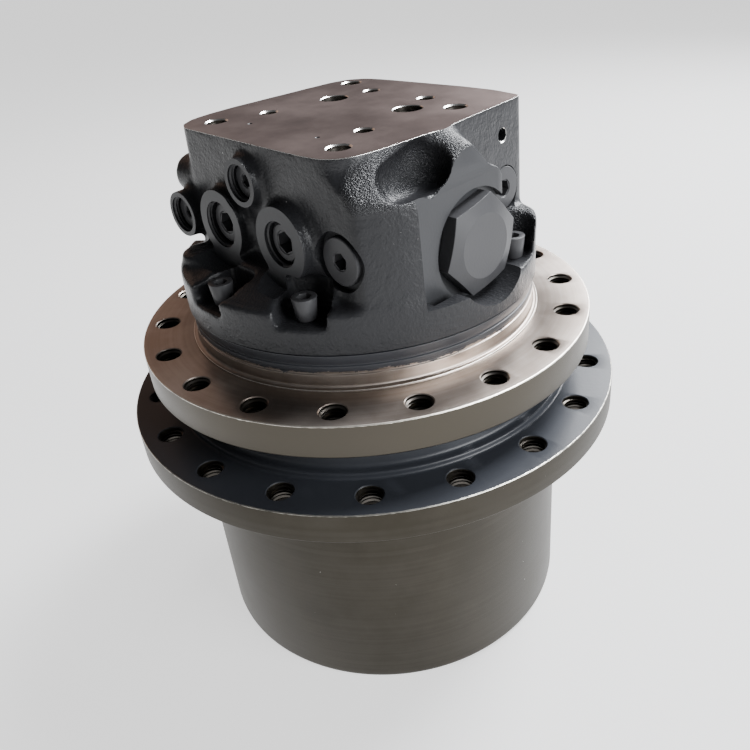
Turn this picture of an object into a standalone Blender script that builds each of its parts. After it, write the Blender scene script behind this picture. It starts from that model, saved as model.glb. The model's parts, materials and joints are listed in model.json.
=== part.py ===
"""Final drive of a compact excavator: a hydraulic motor in a fixed spindle that turns a hub through
two planetary stages. Metres, +Z up the output axis, origin at the centre of the drum's open end."""

from math import acos, atan2, cos, pi, radians, sin, sqrt, tan

import bmesh
import bpy
from mathutils import Matrix, Vector

# Fits and facets
GAP = 0.0003
FACE_GAP = 0.0003
WELD = 0.000001
OVERCUT = 0.010
ROOT = 0.002
OUTER_STEPS = 36
INNER_STEPS = 16
PLUG_STEPS = 14
HOLE_STEPS = 6
LAND_STEPS = 8
FLANK_POINTS = 2
BORE_STEPS = 24

# Gears: one ring gear serves both stages
MODULE = 0.003
PRESSURE_ANGLE = radians(20.0)
ADDENDUM = 0.8
DEDENDUM = 1.15
BACKLASH = 0.0004
RING_TEETH = 60
SUN_1_TEETH = 12
SUN_2_TEETH = 18
PLANETS = 3
RING_RIM = 0.0055
STAGE_1_ANGLE = radians(90.0)
STAGE_2_ANGLE = radians(30.0)
PLANET_1_WIDTH = 0.022
PLANET_2_WIDTH = 0.030

# Drum, hub flange and end cover
DRUM_WALL = 0.0137
DRUM_EDGE = 0.004
SPROCKET_FLANGE_OVERHANG = 0.032
SPROCKET_FLANGE_THICKNESS = 0.0169
SPROCKET_FLANGE_DROP = 0.0041
SPROCKET_HOLE_INSET = 0.0148
SPROCKET_HOLES = 18
SPROCKET_HOLE_RADIUS = 0.0070
SPROCKET_HOLE_ANGLE = radians(16.5)
COLLAR_STEP = 0.005
COLLAR_STEP_HEIGHT = 0.003
COLLAR_BEVEL = 0.0015
COLLAR_HEIGHT = 0.0205
COVER_RECESS = 0.0025
COVER_THICKNESS = 0.010
COVER_DISH = 0.003
COVER_RIM = 0.016
CLIP_THICKNESS = 0.0025
CLIP_DEPTH = 0.0025
CLIP_WIDTH = 0.0055
CLIP_SPLIT = radians(14.0)
COVER_PLUG_RADIUS = 0.010
COVER_PLUG_CIRCLE = 0.055
COVER_PLUG_HEAD = 0.003
COVER_PLUG_SOCKET = 0.010
COVER_SOCKET_DEPTH = 0.006

# Spindle with the frame flange
FRAME_FLANGE_OVERHANG = 0.0317
FRAME_FLANGE_CLEARANCE = 0.0022
FRAME_FLANGE_THICKNESS = 0.0183
FRAME_HOLES = 18
FRAME_HOLE_INSET = 0.0126
FRAME_HOLE_RADIUS = 0.0070
FRAME_HOLE_ANGLE = radians(10.0)
FLANGE_BEVEL = 0.0008
PILOT_STEP = 0.0027
PILOT_HEIGHT = 0.0008
NECK_RADIUS = 0.0989
NECK_GROOVE = 0.0012
NECK_GROOVE_DROP = 0.0083
NECK_HEIGHT = 0.0198
CAVITY_RADIUS = 0.062
CAVITY_FLOOR_RISE = 0.038
CAVITY_STEP_RADIUS = 0.0555
BRAKE_LEDGE_RISE = 0.0005
SPINDLE_END_STEP = 0.0015

# Main bearings, nut and face seal
SEAT_RADIUS = 0.075
BEARING_OUTER = 0.095
BEARING_WIDTH = 0.018
BEARING_RIB = 0.0095
RIB_DEPTH = 0.007
BALL_RADIUS = 0.0058
TRACK_ARC = radians(56.0)
BALLS = 10
CAGE_THICKNESS = 0.0022
CAGE_WIDTH = 0.006
NUT_THICKNESS = 0.007
NUT_RADIUS = 0.084
NUT_SLOTS = 4
NUT_SLOT_WIDTH = 0.008
NUT_SLOT_DEPTH = 0.003
SEAL_SEAT_RADIUS = 0.083
SEAL_BORE = 0.100
SEAL_OUTER = 0.0955
SEAL_RING_WIDTH = 0.0095
SEAL_FLANGE_WIDTH = 0.0035
SEAL_FLOOR_STEP = 0.004
TORIC_RADIUS = 0.0028

# Gear train levels, from the drum's open end
COVER_TO_PLANETS = 0.0042
CARRIER_GAP = 0.0025
CARRIER_THICKNESS = 0.009
CARRIER_RIM = 0.006
CARRIER_PIN_INSET = 0.001
CARRIER_TO_THRUST = 0.001
THRUST_THICKNESS = 0.003
THRUST_GAP = 0.0005
THRUST_ROOM = 0.003
PLANET_TO_SPINDLE = 0.0025
PIN_1_RADIUS = 0.010
PIN_2_RADIUS = 0.0115
PIN_SEAT = 0.030
SUN_2_BORE = 0.0135
SUN_2_SPIGOT = 0.0165
SUN_SHAFT_RADIUS = 0.0115

# Hydraulic motor inside the spindle
SHAFT_RADIUS = 0.0125
SHAFT_ROOM = 0.001
SHAFT_END_RADIUS = 0.0105
SHAFT_COUPLING = 0.004
SHAFT_BEARING_RADIUS = 0.026
SHAFT_BEARING_WIDTH = 0.013
SHAFT_SEAL_RADIUS = 0.021
SHAFT_SEAL_WIDTH = 0.007
REAR_BEARING_RADIUS = 0.0205
REAR_BEARING_WIDTH = 0.013
SWASH_RISE = 0.022
SWASH_RADIUS = 0.0495
SWASH_THICKNESS = 0.008
SWASH_TILT = radians(14.0)
SWASH_BORE = 0.0185
CRADLE_RADIUS = 0.0190
CRADLE_INNER = 0.0275
CRADLE_OUTER = 0.044
CRADLE_RELIEF = 0.0005
TILT_PISTON_RADIUS = 0.0055
TILT_PISTON_REACH = 0.036
TILT_PISTON_LENGTH = 0.012
PISTONS = 9
PISTON_CIRCLE = 0.0315
PISTON_RADIUS = 0.0072
PISTON_LENGTH = 0.030
PISTON_ROOM = 0.002
PISTON_NECK = 0.0043
PISTON_SHOULDER = 0.003
SHOE_RADIUS = 0.0088
SHOE_THICKNESS = 0.004
RETAINER_THICKNESS = 0.0025
RETAINER_RISE = 0.001
RETAINER_INWARD = 0.011
RETAINER_OUTWARD = 0.0075
BLOCK_RADIUS = 0.0450
BARREL_RISE = 0.0245
VALVE_PLATE_THICKNESS = 0.004
VALVE_PLATE_RADIUS = 0.043
KIDNEY_RADIUS = 0.004
KIDNEY_SPAN = radians(100.0)
SPIGOT_DEPTH = 0.005

# Parking brake
BRAKE_PLATE_THICKNESS = 0.0028
BRAKE_DISC_THICKNESS = 0.0034
BRAKE_DISC_OUTER = 0.0585
BRAKE_PLATE_INNER = 0.0495
BRAKE_ROOM = 0.0021
BRAKE_PISTON_INNER = 0.0485
BRAKE_SPRING_HEIGHT = 0.0045
BRAKE_SPRING_THICKNESS = 0.0016
BRAKE_SPRING_INSET = 0.001

# Port block casting
BLOCK_RISE = 0.0685
JOINT_GAP = 0.0003
RIM_STEP = 0.0011
RIM_THICKNESS = 0.0214
RIM_BEVEL = 0.0015
BODY_LEFT = -0.072
BODY_RIGHT = 0.070
BODY_FRONT = -0.063
BODY_BACK = 0.070
BODY_ROOT_DEPTH = 0.0125
BODY_CORNER = 0.016
PAD_FACE = 0.085
PAD_ROOT = 0.015
PAD_FRONT = -0.034
PAD_BACK = 0.0265
PAD_SHOULDER_DROP = 0.027
PAD_PEAK_DROP = 0.0072
PAD_PEAK_Y = -0.0005
PEAK_END_Y = 0.005
LOBE_START_Y = -0.024
LOBE_STEPS = 4
PAD_STEP_Y = 0.0175
PAD_STEP_DROP = 0.0215
PAD_CORNER_DROP = 0.0285
BULGE_RADIUS = 0.0995
BULGE_SHOULDER_RADIUS = 0.0985
BULGE_SHOULDER_DROP = 0.0205
BULGE_TOP_DROP = 0.003
BULGE_BEHIND = 0.010
BULGE_STEPS = 5
# The scoop's round ends, from front to rear: x, y, drop from the port face, radius
SCOOP_ENDS = ((0.0807, -0.0522, 0.0254, 0.0065), (0.0740, -0.0198, 0.0148, 0.0132))
SCOOP_STEPS = 10
SHELF_RISE = 0.012
SHELF_END = 0.012
SHELF_ROOT = 0.004
SHELF_INSET = 0.003
SHELF_LIP = 0.001
SHELF_DEPTH = 0.008
POCKET_DEPTH = 0.0075
POCKET_RISE = 0.0175
POCKET_RADIUS = 0.0125
SCREW_INSET = 0.014
SCREW_ANGLES = (-96.0, -59.5, 30.0, 70.0, 110.0, 150.0, -152.0)
NOTCH_WIDTH = 0.027
NOTCH_INNER = 0.012
SCREW_HOLE_RADIUS = 0.0046
LUG_ANGLES = (30.0, -122.0)
LUG_RADIUS = 0.0155
LUG_INSET = 0.0155
LUG_RISE = 0.0125

# Counterbalance spool across the block
SPOOL_Y = 0.005
SPOOL_DROP = 0.0565
SPOOL_RADIUS = 0.0115
SPOOL_LENGTH = 0.092
SPOOL_GROOVE = 0.003
SPOOL_LANDS = ((-0.040, 0.012), (-0.0123, 0.006), (0.0123, 0.006), (0.040, 0.012))
SPOOL_STROKE = 0.003
PLUG_SHANK_RADIUS = 0.0190
PLUG_SHANK_LENGTH = 0.016
SPOTFACE_RADIUS = 0.0280
SPOTFACE_DEPTH = 0.0040
HEX_FLATS = 0.0450
HEX_LENGTH = 0.0097
HEX_CHAMFER_SLOPE = radians(15.0)
HEX_CHAMFER_RADIUS = 0.0164
HEX_TURN = radians(42.9)
SPRING_WIRE = 0.0014
SPRING_COIL_RADIUS = 0.0088
SPRING_TURNS = 4
SPRING_SEAT = 0.004
COIL_STEPS = 6
LEFT_PAD_FACE = -0.083
LEFT_PAD_RADIUS = 0.031

# Ports and tapped holes in the port face: place in x and y, radius, depth
PORTS = ((-0.0315, 0.0215, 0.0065, 0.034), (0.0285, 0.0200, 0.0065, 0.034))
PORT_MOUTH_RADIUS = 0.0078
PORT_MOUTH_DEPTH = 0.0030
FACE_HOLES = (
    (-0.0527, -0.0447, 0.0058, 0.022),
    (0.0522, -0.0484, 0.0058, 0.022),
    (0.0499, 0.0330, 0.0058, 0.022),
    (-0.0555, 0.0563, 0.0058, 0.022),
    (-0.0410, -0.0179, 0.0045, 0.018),
    (0.0400, -0.0215, 0.0045, 0.018),
    (0.0203, 0.0423, 0.0045, 0.018),
    (-0.0253, 0.0449, 0.0045, 0.018),
)

# Plugged ports in the front wall: x, drop from the port face, boss radius, boss length,
# counterbore radius, plug depth, hexagon across flats
FRONT_PLUGS = (
    (-0.0005, 0.0185, 0.0119, 0.0075, 0.0093, 0.0043, 0.0060),
    (-0.0640, 0.0460, 0.0125, 0.0080, 0.0100, 0.0043, 0.0060),
    (-0.0240, 0.0439, 0.0182, 0.0085, 0.0124, 0.0038, 0.0100),
    (0.0285, 0.0433, 0.0184, 0.0095, 0.0116, 0.0032, 0.0100),
    (0.0623, 0.0472, 0.0150, 0.0, 0.0120, 0.0008, 0.0080),
)
PLUG_LENGTH = 0.012
PLUG_SOCKET_DEPTH = 0.007
BOSS_ROOT = 0.012
SIDE_PLUG_Y = 0.0475
SIDE_PLUG_DROP = 0.0435
SIDE_PLUG_RADIUS = 0.0115
SIDE_PLUG_RECESS = 0.0008
SIDE_PLUG_FLATS = 0.008
SIDE_TAP_DROP = 0.0155
SIDE_TAP_RADIUS = 0.0032
SIDE_TAP_DEPTH = 0.014
LEFT_BOSS_Y = -0.0505
LEFT_BOSS_DROP = 0.0295
LEFT_BOSS_RADIUS = 0.0112
LEFT_BOSS_LENGTH = 0.008

# Places that follow from the sizes above
PLANET_1_TEETH = (RING_TEETH - SUN_1_TEETH) // 2
PLANET_2_TEETH = (RING_TEETH - SUN_2_TEETH) // 2
PLANET_1_CENTRE = MODULE * (SUN_1_TEETH + PLANET_1_TEETH) / 2
PLANET_2_CENTRE = MODULE * (SUN_2_TEETH + PLANET_2_TEETH) / 2
RING_OUTER = MODULE * RING_TEETH / 2 + DEDENDUM * MODULE + RING_RIM
DRUM_BORE = RING_OUTER + GAP
DRUM_RADIUS = DRUM_BORE + DRUM_WALL
SPROCKET_FLANGE_RADIUS = DRUM_RADIUS + SPROCKET_FLANGE_OVERHANG
SPROCKET_HOLE_CIRCLE = SPROCKET_FLANGE_RADIUS - SPROCKET_HOLE_INSET
FRAME_FLANGE_RADIUS = NECK_RADIUS + FRAME_FLANGE_OVERHANG
FRAME_HOLE_CIRCLE = FRAME_FLANGE_RADIUS - FRAME_HOLE_INSET
PILOT_RADIUS = NECK_RADIUS + PILOT_STEP
CLIP_BOTTOM = COVER_RECESS
COVER_BOTTOM = CLIP_BOTTOM + CLIP_THICKNESS + FACE_GAP
COVER_TOP = COVER_BOTTOM + COVER_THICKNESS
RING_BOTTOM = COVER_TOP + FACE_GAP
PLANET_1_BOTTOM = COVER_TOP + COVER_TO_PLANETS
PLANET_1_TOP = PLANET_1_BOTTOM + PLANET_1_WIDTH
CARRIER_BOTTOM = PLANET_1_TOP + CARRIER_GAP
CARRIER_TOP = CARRIER_BOTTOM + CARRIER_THICKNESS
THRUST_BOTTOM = CARRIER_TOP + CARRIER_TO_THRUST
PLANET_2_BOTTOM = THRUST_BOTTOM + THRUST_THICKNESS + THRUST_GAP
PLANET_2_TOP = PLANET_2_BOTTOM + PLANET_2_WIDTH
SPINDLE_END = PLANET_2_TOP + PLANET_TO_SPINDLE
RING_TOP = PLANET_2_TOP + THRUST_GAP
BORE_SHOULDER = RING_TOP + FACE_GAP
NUT_BOTTOM = SPINDLE_END + SPINDLE_END_STEP
LOWER_BEARING = NUT_BOTTOM + NUT_THICKNESS + FACE_GAP
RIB_BOTTOM = LOWER_BEARING + BEARING_WIDTH + FACE_GAP
RIB_TOP = RIB_BOTTOM + BEARING_RIB
UPPER_BEARING = RIB_TOP + FACE_GAP
SEAT_TOP = UPPER_BEARING + BEARING_WIDTH + FACE_GAP
SEAL_FLOOR = SEAT_TOP + SEAL_FLOOR_STEP
SPROCKET_FLANGE_BOTTOM = SEAT_TOP - SPROCKET_FLANGE_DROP
SPROCKET_FLANGE_TOP = SPROCKET_FLANGE_BOTTOM + SPROCKET_FLANGE_THICKNESS
COLLAR_TOP = SPROCKET_FLANGE_TOP + COLLAR_HEIGHT
FRAME_FLANGE_BOTTOM = COLLAR_TOP + FRAME_FLANGE_CLEARANCE
FRAME_FLANGE_TOP = FRAME_FLANGE_BOTTOM + FRAME_FLANGE_THICKNESS
NECK_TOP = FRAME_FLANGE_TOP + NECK_HEIGHT
NECK_GROOVE_HEIGHT = NECK_TOP - NECK_GROOVE_DROP
CAVITY_FLOOR = SPINDLE_END + CAVITY_FLOOR_RISE
SWASH_CENTRE = CAVITY_FLOOR + SWASH_RISE
BLOCK_BOTTOM = SWASH_CENTRE + BARREL_RISE
BRAKE_LEDGE = BLOCK_BOTTOM + BRAKE_LEDGE_RISE
PORT_BLOCK_BOTTOM = NECK_TOP + JOINT_GAP
SPIGOT_BOTTOM = PORT_BLOCK_BOTTOM - SPIGOT_DEPTH
VALVE_PLATE_BOTTOM = SPIGOT_BOTTOM - FACE_GAP - VALVE_PLATE_THICKNESS
BLOCK_HEIGHT = VALVE_PLATE_BOTTOM - FACE_GAP - BLOCK_BOTTOM
RIM_RADIUS = NECK_RADIUS + RIM_STEP
RIM_TOP = PORT_BLOCK_BOTTOM + RIM_THICKNESS
BLOCK_TOP = RIM_TOP + BLOCK_RISE
BODY_ROOT = RIM_TOP - BODY_ROOT_DEPTH
PAD_SHOULDER = BLOCK_TOP - PAD_SHOULDER_DROP
PAD_PEAK = BLOCK_TOP - PAD_PEAK_DROP
BULGE_SHOULDER = BLOCK_TOP - BULGE_SHOULDER_DROP
POCKET_FLOOR = RIM_TOP - POCKET_DEPTH
POCKET_TOP = RIM_TOP + POCKET_RISE
SCREW_CIRCLE = RIM_RADIUS - SCREW_INSET
SPOOL_Z = BLOCK_TOP - SPOOL_DROP
SHAFT_BEARING_BOTTOM = CAVITY_FLOOR - SHAFT_BEARING_WIDTH
SHAFT_SEAL_BOTTOM = SHAFT_BEARING_BOTTOM - SHAFT_SEAL_WIDTH
SHAFT_END = SHAFT_SEAL_BOTTOM - SHAFT_COUPLING
SHOE_BOTTOM = SWASH_CENTRE + (PISTON_CIRCLE + SHOE_RADIUS) * tan(SWASH_TILT) + FACE_GAP

# Finishes
CASTING = ("casting_paint", (0.035, 0.036, 0.040), 0.45, 0.0)
TURNED = ("turned_steel", (0.36, 0.34, 0.31), 0.32, 1.0)
HUB_IRON = ("hub_iron", (0.22, 0.205, 0.18), 0.42, 1.0)
GEAR_STEEL = ("gear_steel", (0.45, 0.44, 0.42), 0.30, 1.0)
BEARING_STEEL = ("bearing_steel", (0.62, 0.61, 0.60), 0.18, 1.0)
SEAL_RUBBER = ("seal_rubber", (0.015, 0.015, 0.016), 0.75, 0.0)
PLUG_STEEL = ("plug_steel", (0.06, 0.061, 0.064), 0.40, 0.6)
BRONZE = ("bearing_bronze", (0.50, 0.33, 0.15), 0.35, 1.0)
FRICTION = ("brake_friction", (0.12, 0.09, 0.06), 0.8, 0.0)
SPRING_STEEL = ("spring_steel", (0.30, 0.30, 0.31), 0.35, 1.0)


def clear_scene():
    for item in list(bpy.data.objects):
        bpy.data.objects.remove(item, do_unlink=True)


def finish(name, colour, roughness, metallic):
    """The Principled material of this name, made once."""
    found = bpy.data.materials.get(name)
    if found:
        return found
    material = bpy.data.materials.new(name)
    material.use_nodes = True
    shader = material.node_tree.nodes["Principled BSDF"]
    shader.inputs["Base Color"].default_value = (*colour, 1.0)
    shader.inputs["Roughness"].default_value = roughness
    shader.inputs["Metallic"].default_value = metallic
    return material


def around(count, radius, first=0.0):
    """Points on a circle about the origin, with the angle of each."""
    for index in range(count):
        angle = first + 2 * pi * index / count
        yield radius * cos(angle), radius * sin(angle), angle


def bore(radius, steps, gap=GAP):
    """Corner radius of a faceted bore whose flats clear a pin of this radius."""
    return (radius + gap) / cos(pi / steps)


def turned(outline, steps):
    """Solid of revolution about Z from (radius, height) points, with an open outline on the axis."""
    solid = bmesh.new()
    points = [solid.verts.new((radius, 0.0, height)) for radius, height in outline]
    pairs = list(zip(points, points[1:]))
    if min(radius for radius, _ in outline) > WELD:
        pairs.append((points[-1], points[0]))
    edges = [solid.edges.new(pair) for pair in pairs]
    bmesh.ops.spin(
        solid,
        geom=points + edges,
        cent=(0.0, 0.0, 0.0),
        axis=(0.0, 0.0, 1.0),
        angle=2 * pi,
        steps=steps,
        use_merge=True,
    )
    bmesh.ops.remove_doubles(solid, verts=solid.verts[:], dist=WELD)
    bmesh.ops.recalc_face_normals(solid, faces=solid.faces[:])
    return solid


def tube(inner, outer, low, high, steps):
    return turned([(inner, low), (outer, low), (outer, high), (inner, high)], steps)


def rod(radius, low, high, steps, place=(0.0, 0.0)):
    """Cylinder along Z, standing at a place in x and y."""
    solid = bmesh.new()
    bmesh.ops.create_cone(
        solid,
        cap_ends=True,
        segments=steps,
        radius1=radius,
        radius2=radius,
        depth=high - low,
        matrix=Matrix.Translation((place[0], place[1], (low + high) / 2)),
    )
    return solid


def prism(outline, low, high):
    """Upright solid with this (x, y) outline."""
    solid = bmesh.new()
    face = solid.faces.new([solid.verts.new((x, y, low)) for x, y in outline])
    grown = bmesh.ops.extrude_face_region(solid, geom=[face])
    raised = [item for item in grown["geom"] if isinstance(item, bmesh.types.BMVert)]
    bmesh.ops.translate(solid, vec=(0.0, 0.0, high - low), verts=raised)
    bmesh.ops.recalc_face_normals(solid, faces=solid.faces[:])
    return solid


def box(low, high):
    corners = [(low[0], low[1]), (high[0], low[1]), (high[0], high[1]), (low[0], high[1])]
    return prism(corners, low[2], high[2])


def hull(points):
    """Convex solid round these points."""
    solid = bmesh.new()
    for point in points:
        solid.verts.new(point)
    made = bmesh.ops.convex_hull(solid, input=solid.verts[:])
    spare = {item for key in ("geom_interior", "geom_unused") for item in made[key]}
    corners = [item for item in spare if isinstance(item, bmesh.types.BMVert)]
    bmesh.ops.delete(solid, geom=corners, context="VERTS")
    bmesh.ops.recalc_face_normals(solid, faces=solid.faces[:])
    return solid


def placed(solid, matrix):
    bmesh.ops.transform(solid, matrix=matrix, verts=solid.verts[:])
    return solid


def along_x(solid, place):
    """Lays an upright solid along +X, with its origin at this place."""
    return placed(solid, Matrix.Translation(place) @ Matrix.Rotation(pi / 2, 4, "Y"))


def along_front(solid, place):
    """Lays an upright solid along -Y, with its origin at this place."""
    return placed(solid, Matrix.Translation(place) @ Matrix.Rotation(pi / 2, 4, "X"))


def together(solids):
    """One mesh that holds every given solid, for a cutter of many bodies."""
    whole = bmesh.new()
    for solid in solids:
        part = bpy.data.meshes.new("piece")
        solid.to_mesh(part)
        solid.free()
        whole.from_mesh(part)
        bpy.data.meshes.remove(part)
    return whole


def object_from(name, solid, location, parent):
    mesh = bpy.data.meshes.new(name)
    solid.to_mesh(mesh)
    solid.free()
    item = bpy.data.objects.new(name, mesh)
    item.location = location
    item.parent = parent
    bpy.context.scene.collection.objects.link(item)
    return item


def node(name, solid, look, location=(0.0, 0.0, 0.0)):
    """One visible piece, with its origin at the given place."""
    item = object_from(name, solid, location, None)
    item.data.materials.append(finish(*look))
    item.data.shade_smooth()
    item.data.set_sharp_from_angle(angle=radians(32.0))
    return item


def combine(item, solid, label, operation):
    tool = object_from(label, solid, (0.0, 0.0, 0.0), item)
    tool.hide_render = True
    tool.display_type = "WIRE"
    modifier = item.modifiers.new(label, "BOOLEAN")
    modifier.operation = operation
    modifier.solver = "EXACT"
    modifier.object = tool


def cut(item, solid, label):
    combine(item, solid, label, "DIFFERENCE")


def fuse(item, solid, label):
    combine(item, solid, label, "UNION")


def hexagon(flats, turn=0.0):
    return [(x, y) for x, y, _ in around(6, flats / 2 / cos(pi / 6), turn)]


def tooth_half_angle(teeth, radius, thinning):
    """Half the angle that a tooth spans at this radius, on an involute flank."""
    pitch = MODULE * teeth / 2
    base = pitch * cos(PRESSURE_ANGLE)
    at_pitch = tan(PRESSURE_ANGLE) - PRESSURE_ANGLE
    local = acos(min(1.0, base / radius))
    return pi / (2 * teeth) - thinning / (2 * pitch) + at_pitch - (tan(local) - local)


def gear_outline(teeth, first, inside=False):
    """Points round a gear with a tooth centred at the first angle, or round a ring gear's toothed bore."""
    pitch = MODULE * teeth / 2
    low = pitch - MODULE * (ADDENDUM if inside else DEDENDUM)
    high = pitch + MODULE * (DEDENDUM if inside else ADDENDUM)
    thinning = -BACKLASH / 2 if inside else BACKLASH / 2
    radii = [low + (high - low) * step / (FLANK_POINTS - 1) for step in range(FLANK_POINTS)]
    flank = [(radius, tooth_half_angle(teeth, radius, thinning)) for radius in radii]
    profile = [(r, -half) for r, half in flank] + [(r, half) for r, half in reversed(flank)]
    points = []
    for index in range(teeth):
        centre = first + 2 * pi * index / teeth
        points += [(r * cos(centre + turn), r * sin(centre + turn)) for r, turn in profile]
    return points


def gear(name, teeth, first, low, high, bore_radius, location=(0.0, 0.0, 0.0)):
    item = node(name, prism(gear_outline(teeth, first), low, high), GEAR_STEEL, location)
    cut(item, rod(bore_radius, low - OVERCUT, high + OVERCUT, PLUG_STEPS), name + "_bore")
    return item


def make_hub():
    """Drum, sprocket flange and seal collar: one iron casting, turned inside and out."""
    collar = DRUM_RADIUS + COLLAR_STEP
    collar_top = SPROCKET_FLANGE_TOP + COLLAR_STEP_HEIGHT
    drum_bore = bore(RING_OUTER, BORE_STEPS)
    groove = drum_bore + CLIP_DEPTH
    seal_bore = bore(SEAL_BORE, BORE_STEPS, 0.0)
    race_bore = bore(BEARING_OUTER, BORE_STEPS)
    outline = [
        (0.0, 0.0),
        (DRUM_RADIUS - DRUM_EDGE, 0.0),
        (DRUM_RADIUS - DRUM_EDGE * 0.3, DRUM_EDGE * 0.3),
        (DRUM_RADIUS, DRUM_EDGE),
        (DRUM_RADIUS, SPROCKET_FLANGE_BOTTOM),
        (SPROCKET_FLANGE_RADIUS - FLANGE_BEVEL, SPROCKET_FLANGE_BOTTOM),
        (SPROCKET_FLANGE_RADIUS, SPROCKET_FLANGE_BOTTOM + FLANGE_BEVEL),
        (SPROCKET_FLANGE_RADIUS, SPROCKET_FLANGE_TOP - FLANGE_BEVEL),
        (SPROCKET_FLANGE_RADIUS - FLANGE_BEVEL, SPROCKET_FLANGE_TOP),
        (collar, SPROCKET_FLANGE_TOP),
        (collar, collar_top - COLLAR_BEVEL),
        (collar - COLLAR_BEVEL, collar_top),
        (DRUM_RADIUS, collar_top),
        (DRUM_RADIUS - COLLAR_BEVEL, COLLAR_TOP),
        (0.0, COLLAR_TOP),
    ]
    hub = node("hub", turned(outline, OUTER_STEPS), HUB_IRON)
    hollow = [
        (0.0, -OVERCUT),
        (drum_bore, -OVERCUT),
        (drum_bore, CLIP_BOTTOM - GAP),
        (groove, CLIP_BOTTOM - GAP),
        (groove, CLIP_BOTTOM + CLIP_THICKNESS + GAP),
        (drum_bore, CLIP_BOTTOM + CLIP_THICKNESS + GAP),
        (drum_bore, BORE_SHOULDER),
        (race_bore, BORE_SHOULDER),
        (race_bore, RIB_BOTTOM),
        (race_bore - RIB_DEPTH, RIB_BOTTOM),
        (race_bore - RIB_DEPTH, RIB_TOP),
        (race_bore, RIB_TOP),
        (race_bore, SEAL_FLOOR),
        (seal_bore, SEAL_FLOOR),
        (seal_bore, COLLAR_TOP + OVERCUT),
        (0.0, COLLAR_TOP + OVERCUT),
    ]
    cut(hub, turned(hollow, BORE_STEPS), "hub_bores")
    low, high = SPROCKET_FLANGE_BOTTOM - OVERCUT, SPROCKET_FLANGE_TOP + OVERCUT
    holes = [
        rod(SPROCKET_HOLE_RADIUS, low, high, HOLE_STEPS, (x, y))
        for x, y, _ in around(SPROCKET_HOLES, SPROCKET_HOLE_CIRCLE, SPROCKET_HOLE_ANGLE)
    ]
    cut(hub, together(holes), "sprocket_holes")


def make_ring_gear():
    """Toothed ring pressed in the drum, which both stages' planets run in."""
    ring = node("ring_gear", rod(RING_OUTER, RING_BOTTOM, RING_TOP, OUTER_STEPS), GEAR_STEEL)
    teeth = gear_outline(RING_TEETH, STAGE_2_ANGLE, inside=True)
    cut(ring, prism(teeth, RING_BOTTOM - OVERCUT, RING_TOP + OVERCUT), "ring_gear_teeth")


def cover_plug(name, angle):
    """Oil plug with a hexagon socket, screwed in the cover from outside."""
    low = COVER_BOTTOM - COVER_PLUG_HEAD
    x, y = COVER_PLUG_CIRCLE * cos(angle), COVER_PLUG_CIRCLE * sin(angle)
    plug = node(name, rod(COVER_PLUG_RADIUS, low, COVER_TOP, PLUG_STEPS), PLUG_STEEL, (x, y, 0.0))
    cut(plug, prism(hexagon(COVER_PLUG_SOCKET), low - OVERCUT, low + COVER_SOCKET_DEPTH), name + "_socket")


def make_end_cover():
    """Round cover in the drum's mouth, its split retaining ring and two oil plugs."""
    rim = DRUM_BORE - GAP
    dish = rim - COVER_RIM
    outline = [
        (0.0, COVER_BOTTOM + COVER_DISH),
        (dish - COVER_DISH, COVER_BOTTOM + COVER_DISH),
        (dish, COVER_BOTTOM),
        (rim, COVER_BOTTOM),
        (rim, COVER_TOP),
        (0.0, COVER_TOP),
    ]
    cover = node("end_cover", turned(outline, OUTER_STEPS), HUB_IRON)
    plug_hole = bore(COVER_PLUG_RADIUS, PLUG_STEPS)
    holes = [
        rod(plug_hole, COVER_BOTTOM - OVERCUT, COVER_TOP + OVERCUT, PLUG_STEPS, (x, y))
        for x, y, _ in around(2, COVER_PLUG_CIRCLE)
    ]
    cut(cover, together(holes), "cover_plug_holes")
    cover_plug("oil_fill_plug", 0.0)
    cover_plug("oil_drain_plug", pi)

    outer = DRUM_BORE + CLIP_DEPTH - GAP
    clip = node(
        "cover_retaining_ring",
        tube(outer - CLIP_WIDTH, outer, CLIP_BOTTOM, CLIP_BOTTOM + CLIP_THICKNESS, OUTER_STEPS),
        SPRING_STEEL,
    )
    reach = outer + OVERCUT
    wedge = [(0.0, 0.0), (reach, -reach * tan(CLIP_SPLIT / 2)), (reach, reach * tan(CLIP_SPLIT / 2))]
    cut(clip, prism(wedge, CLIP_BOTTOM - OVERCUT, COVER_TOP), "retaining_ring_split")


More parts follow.
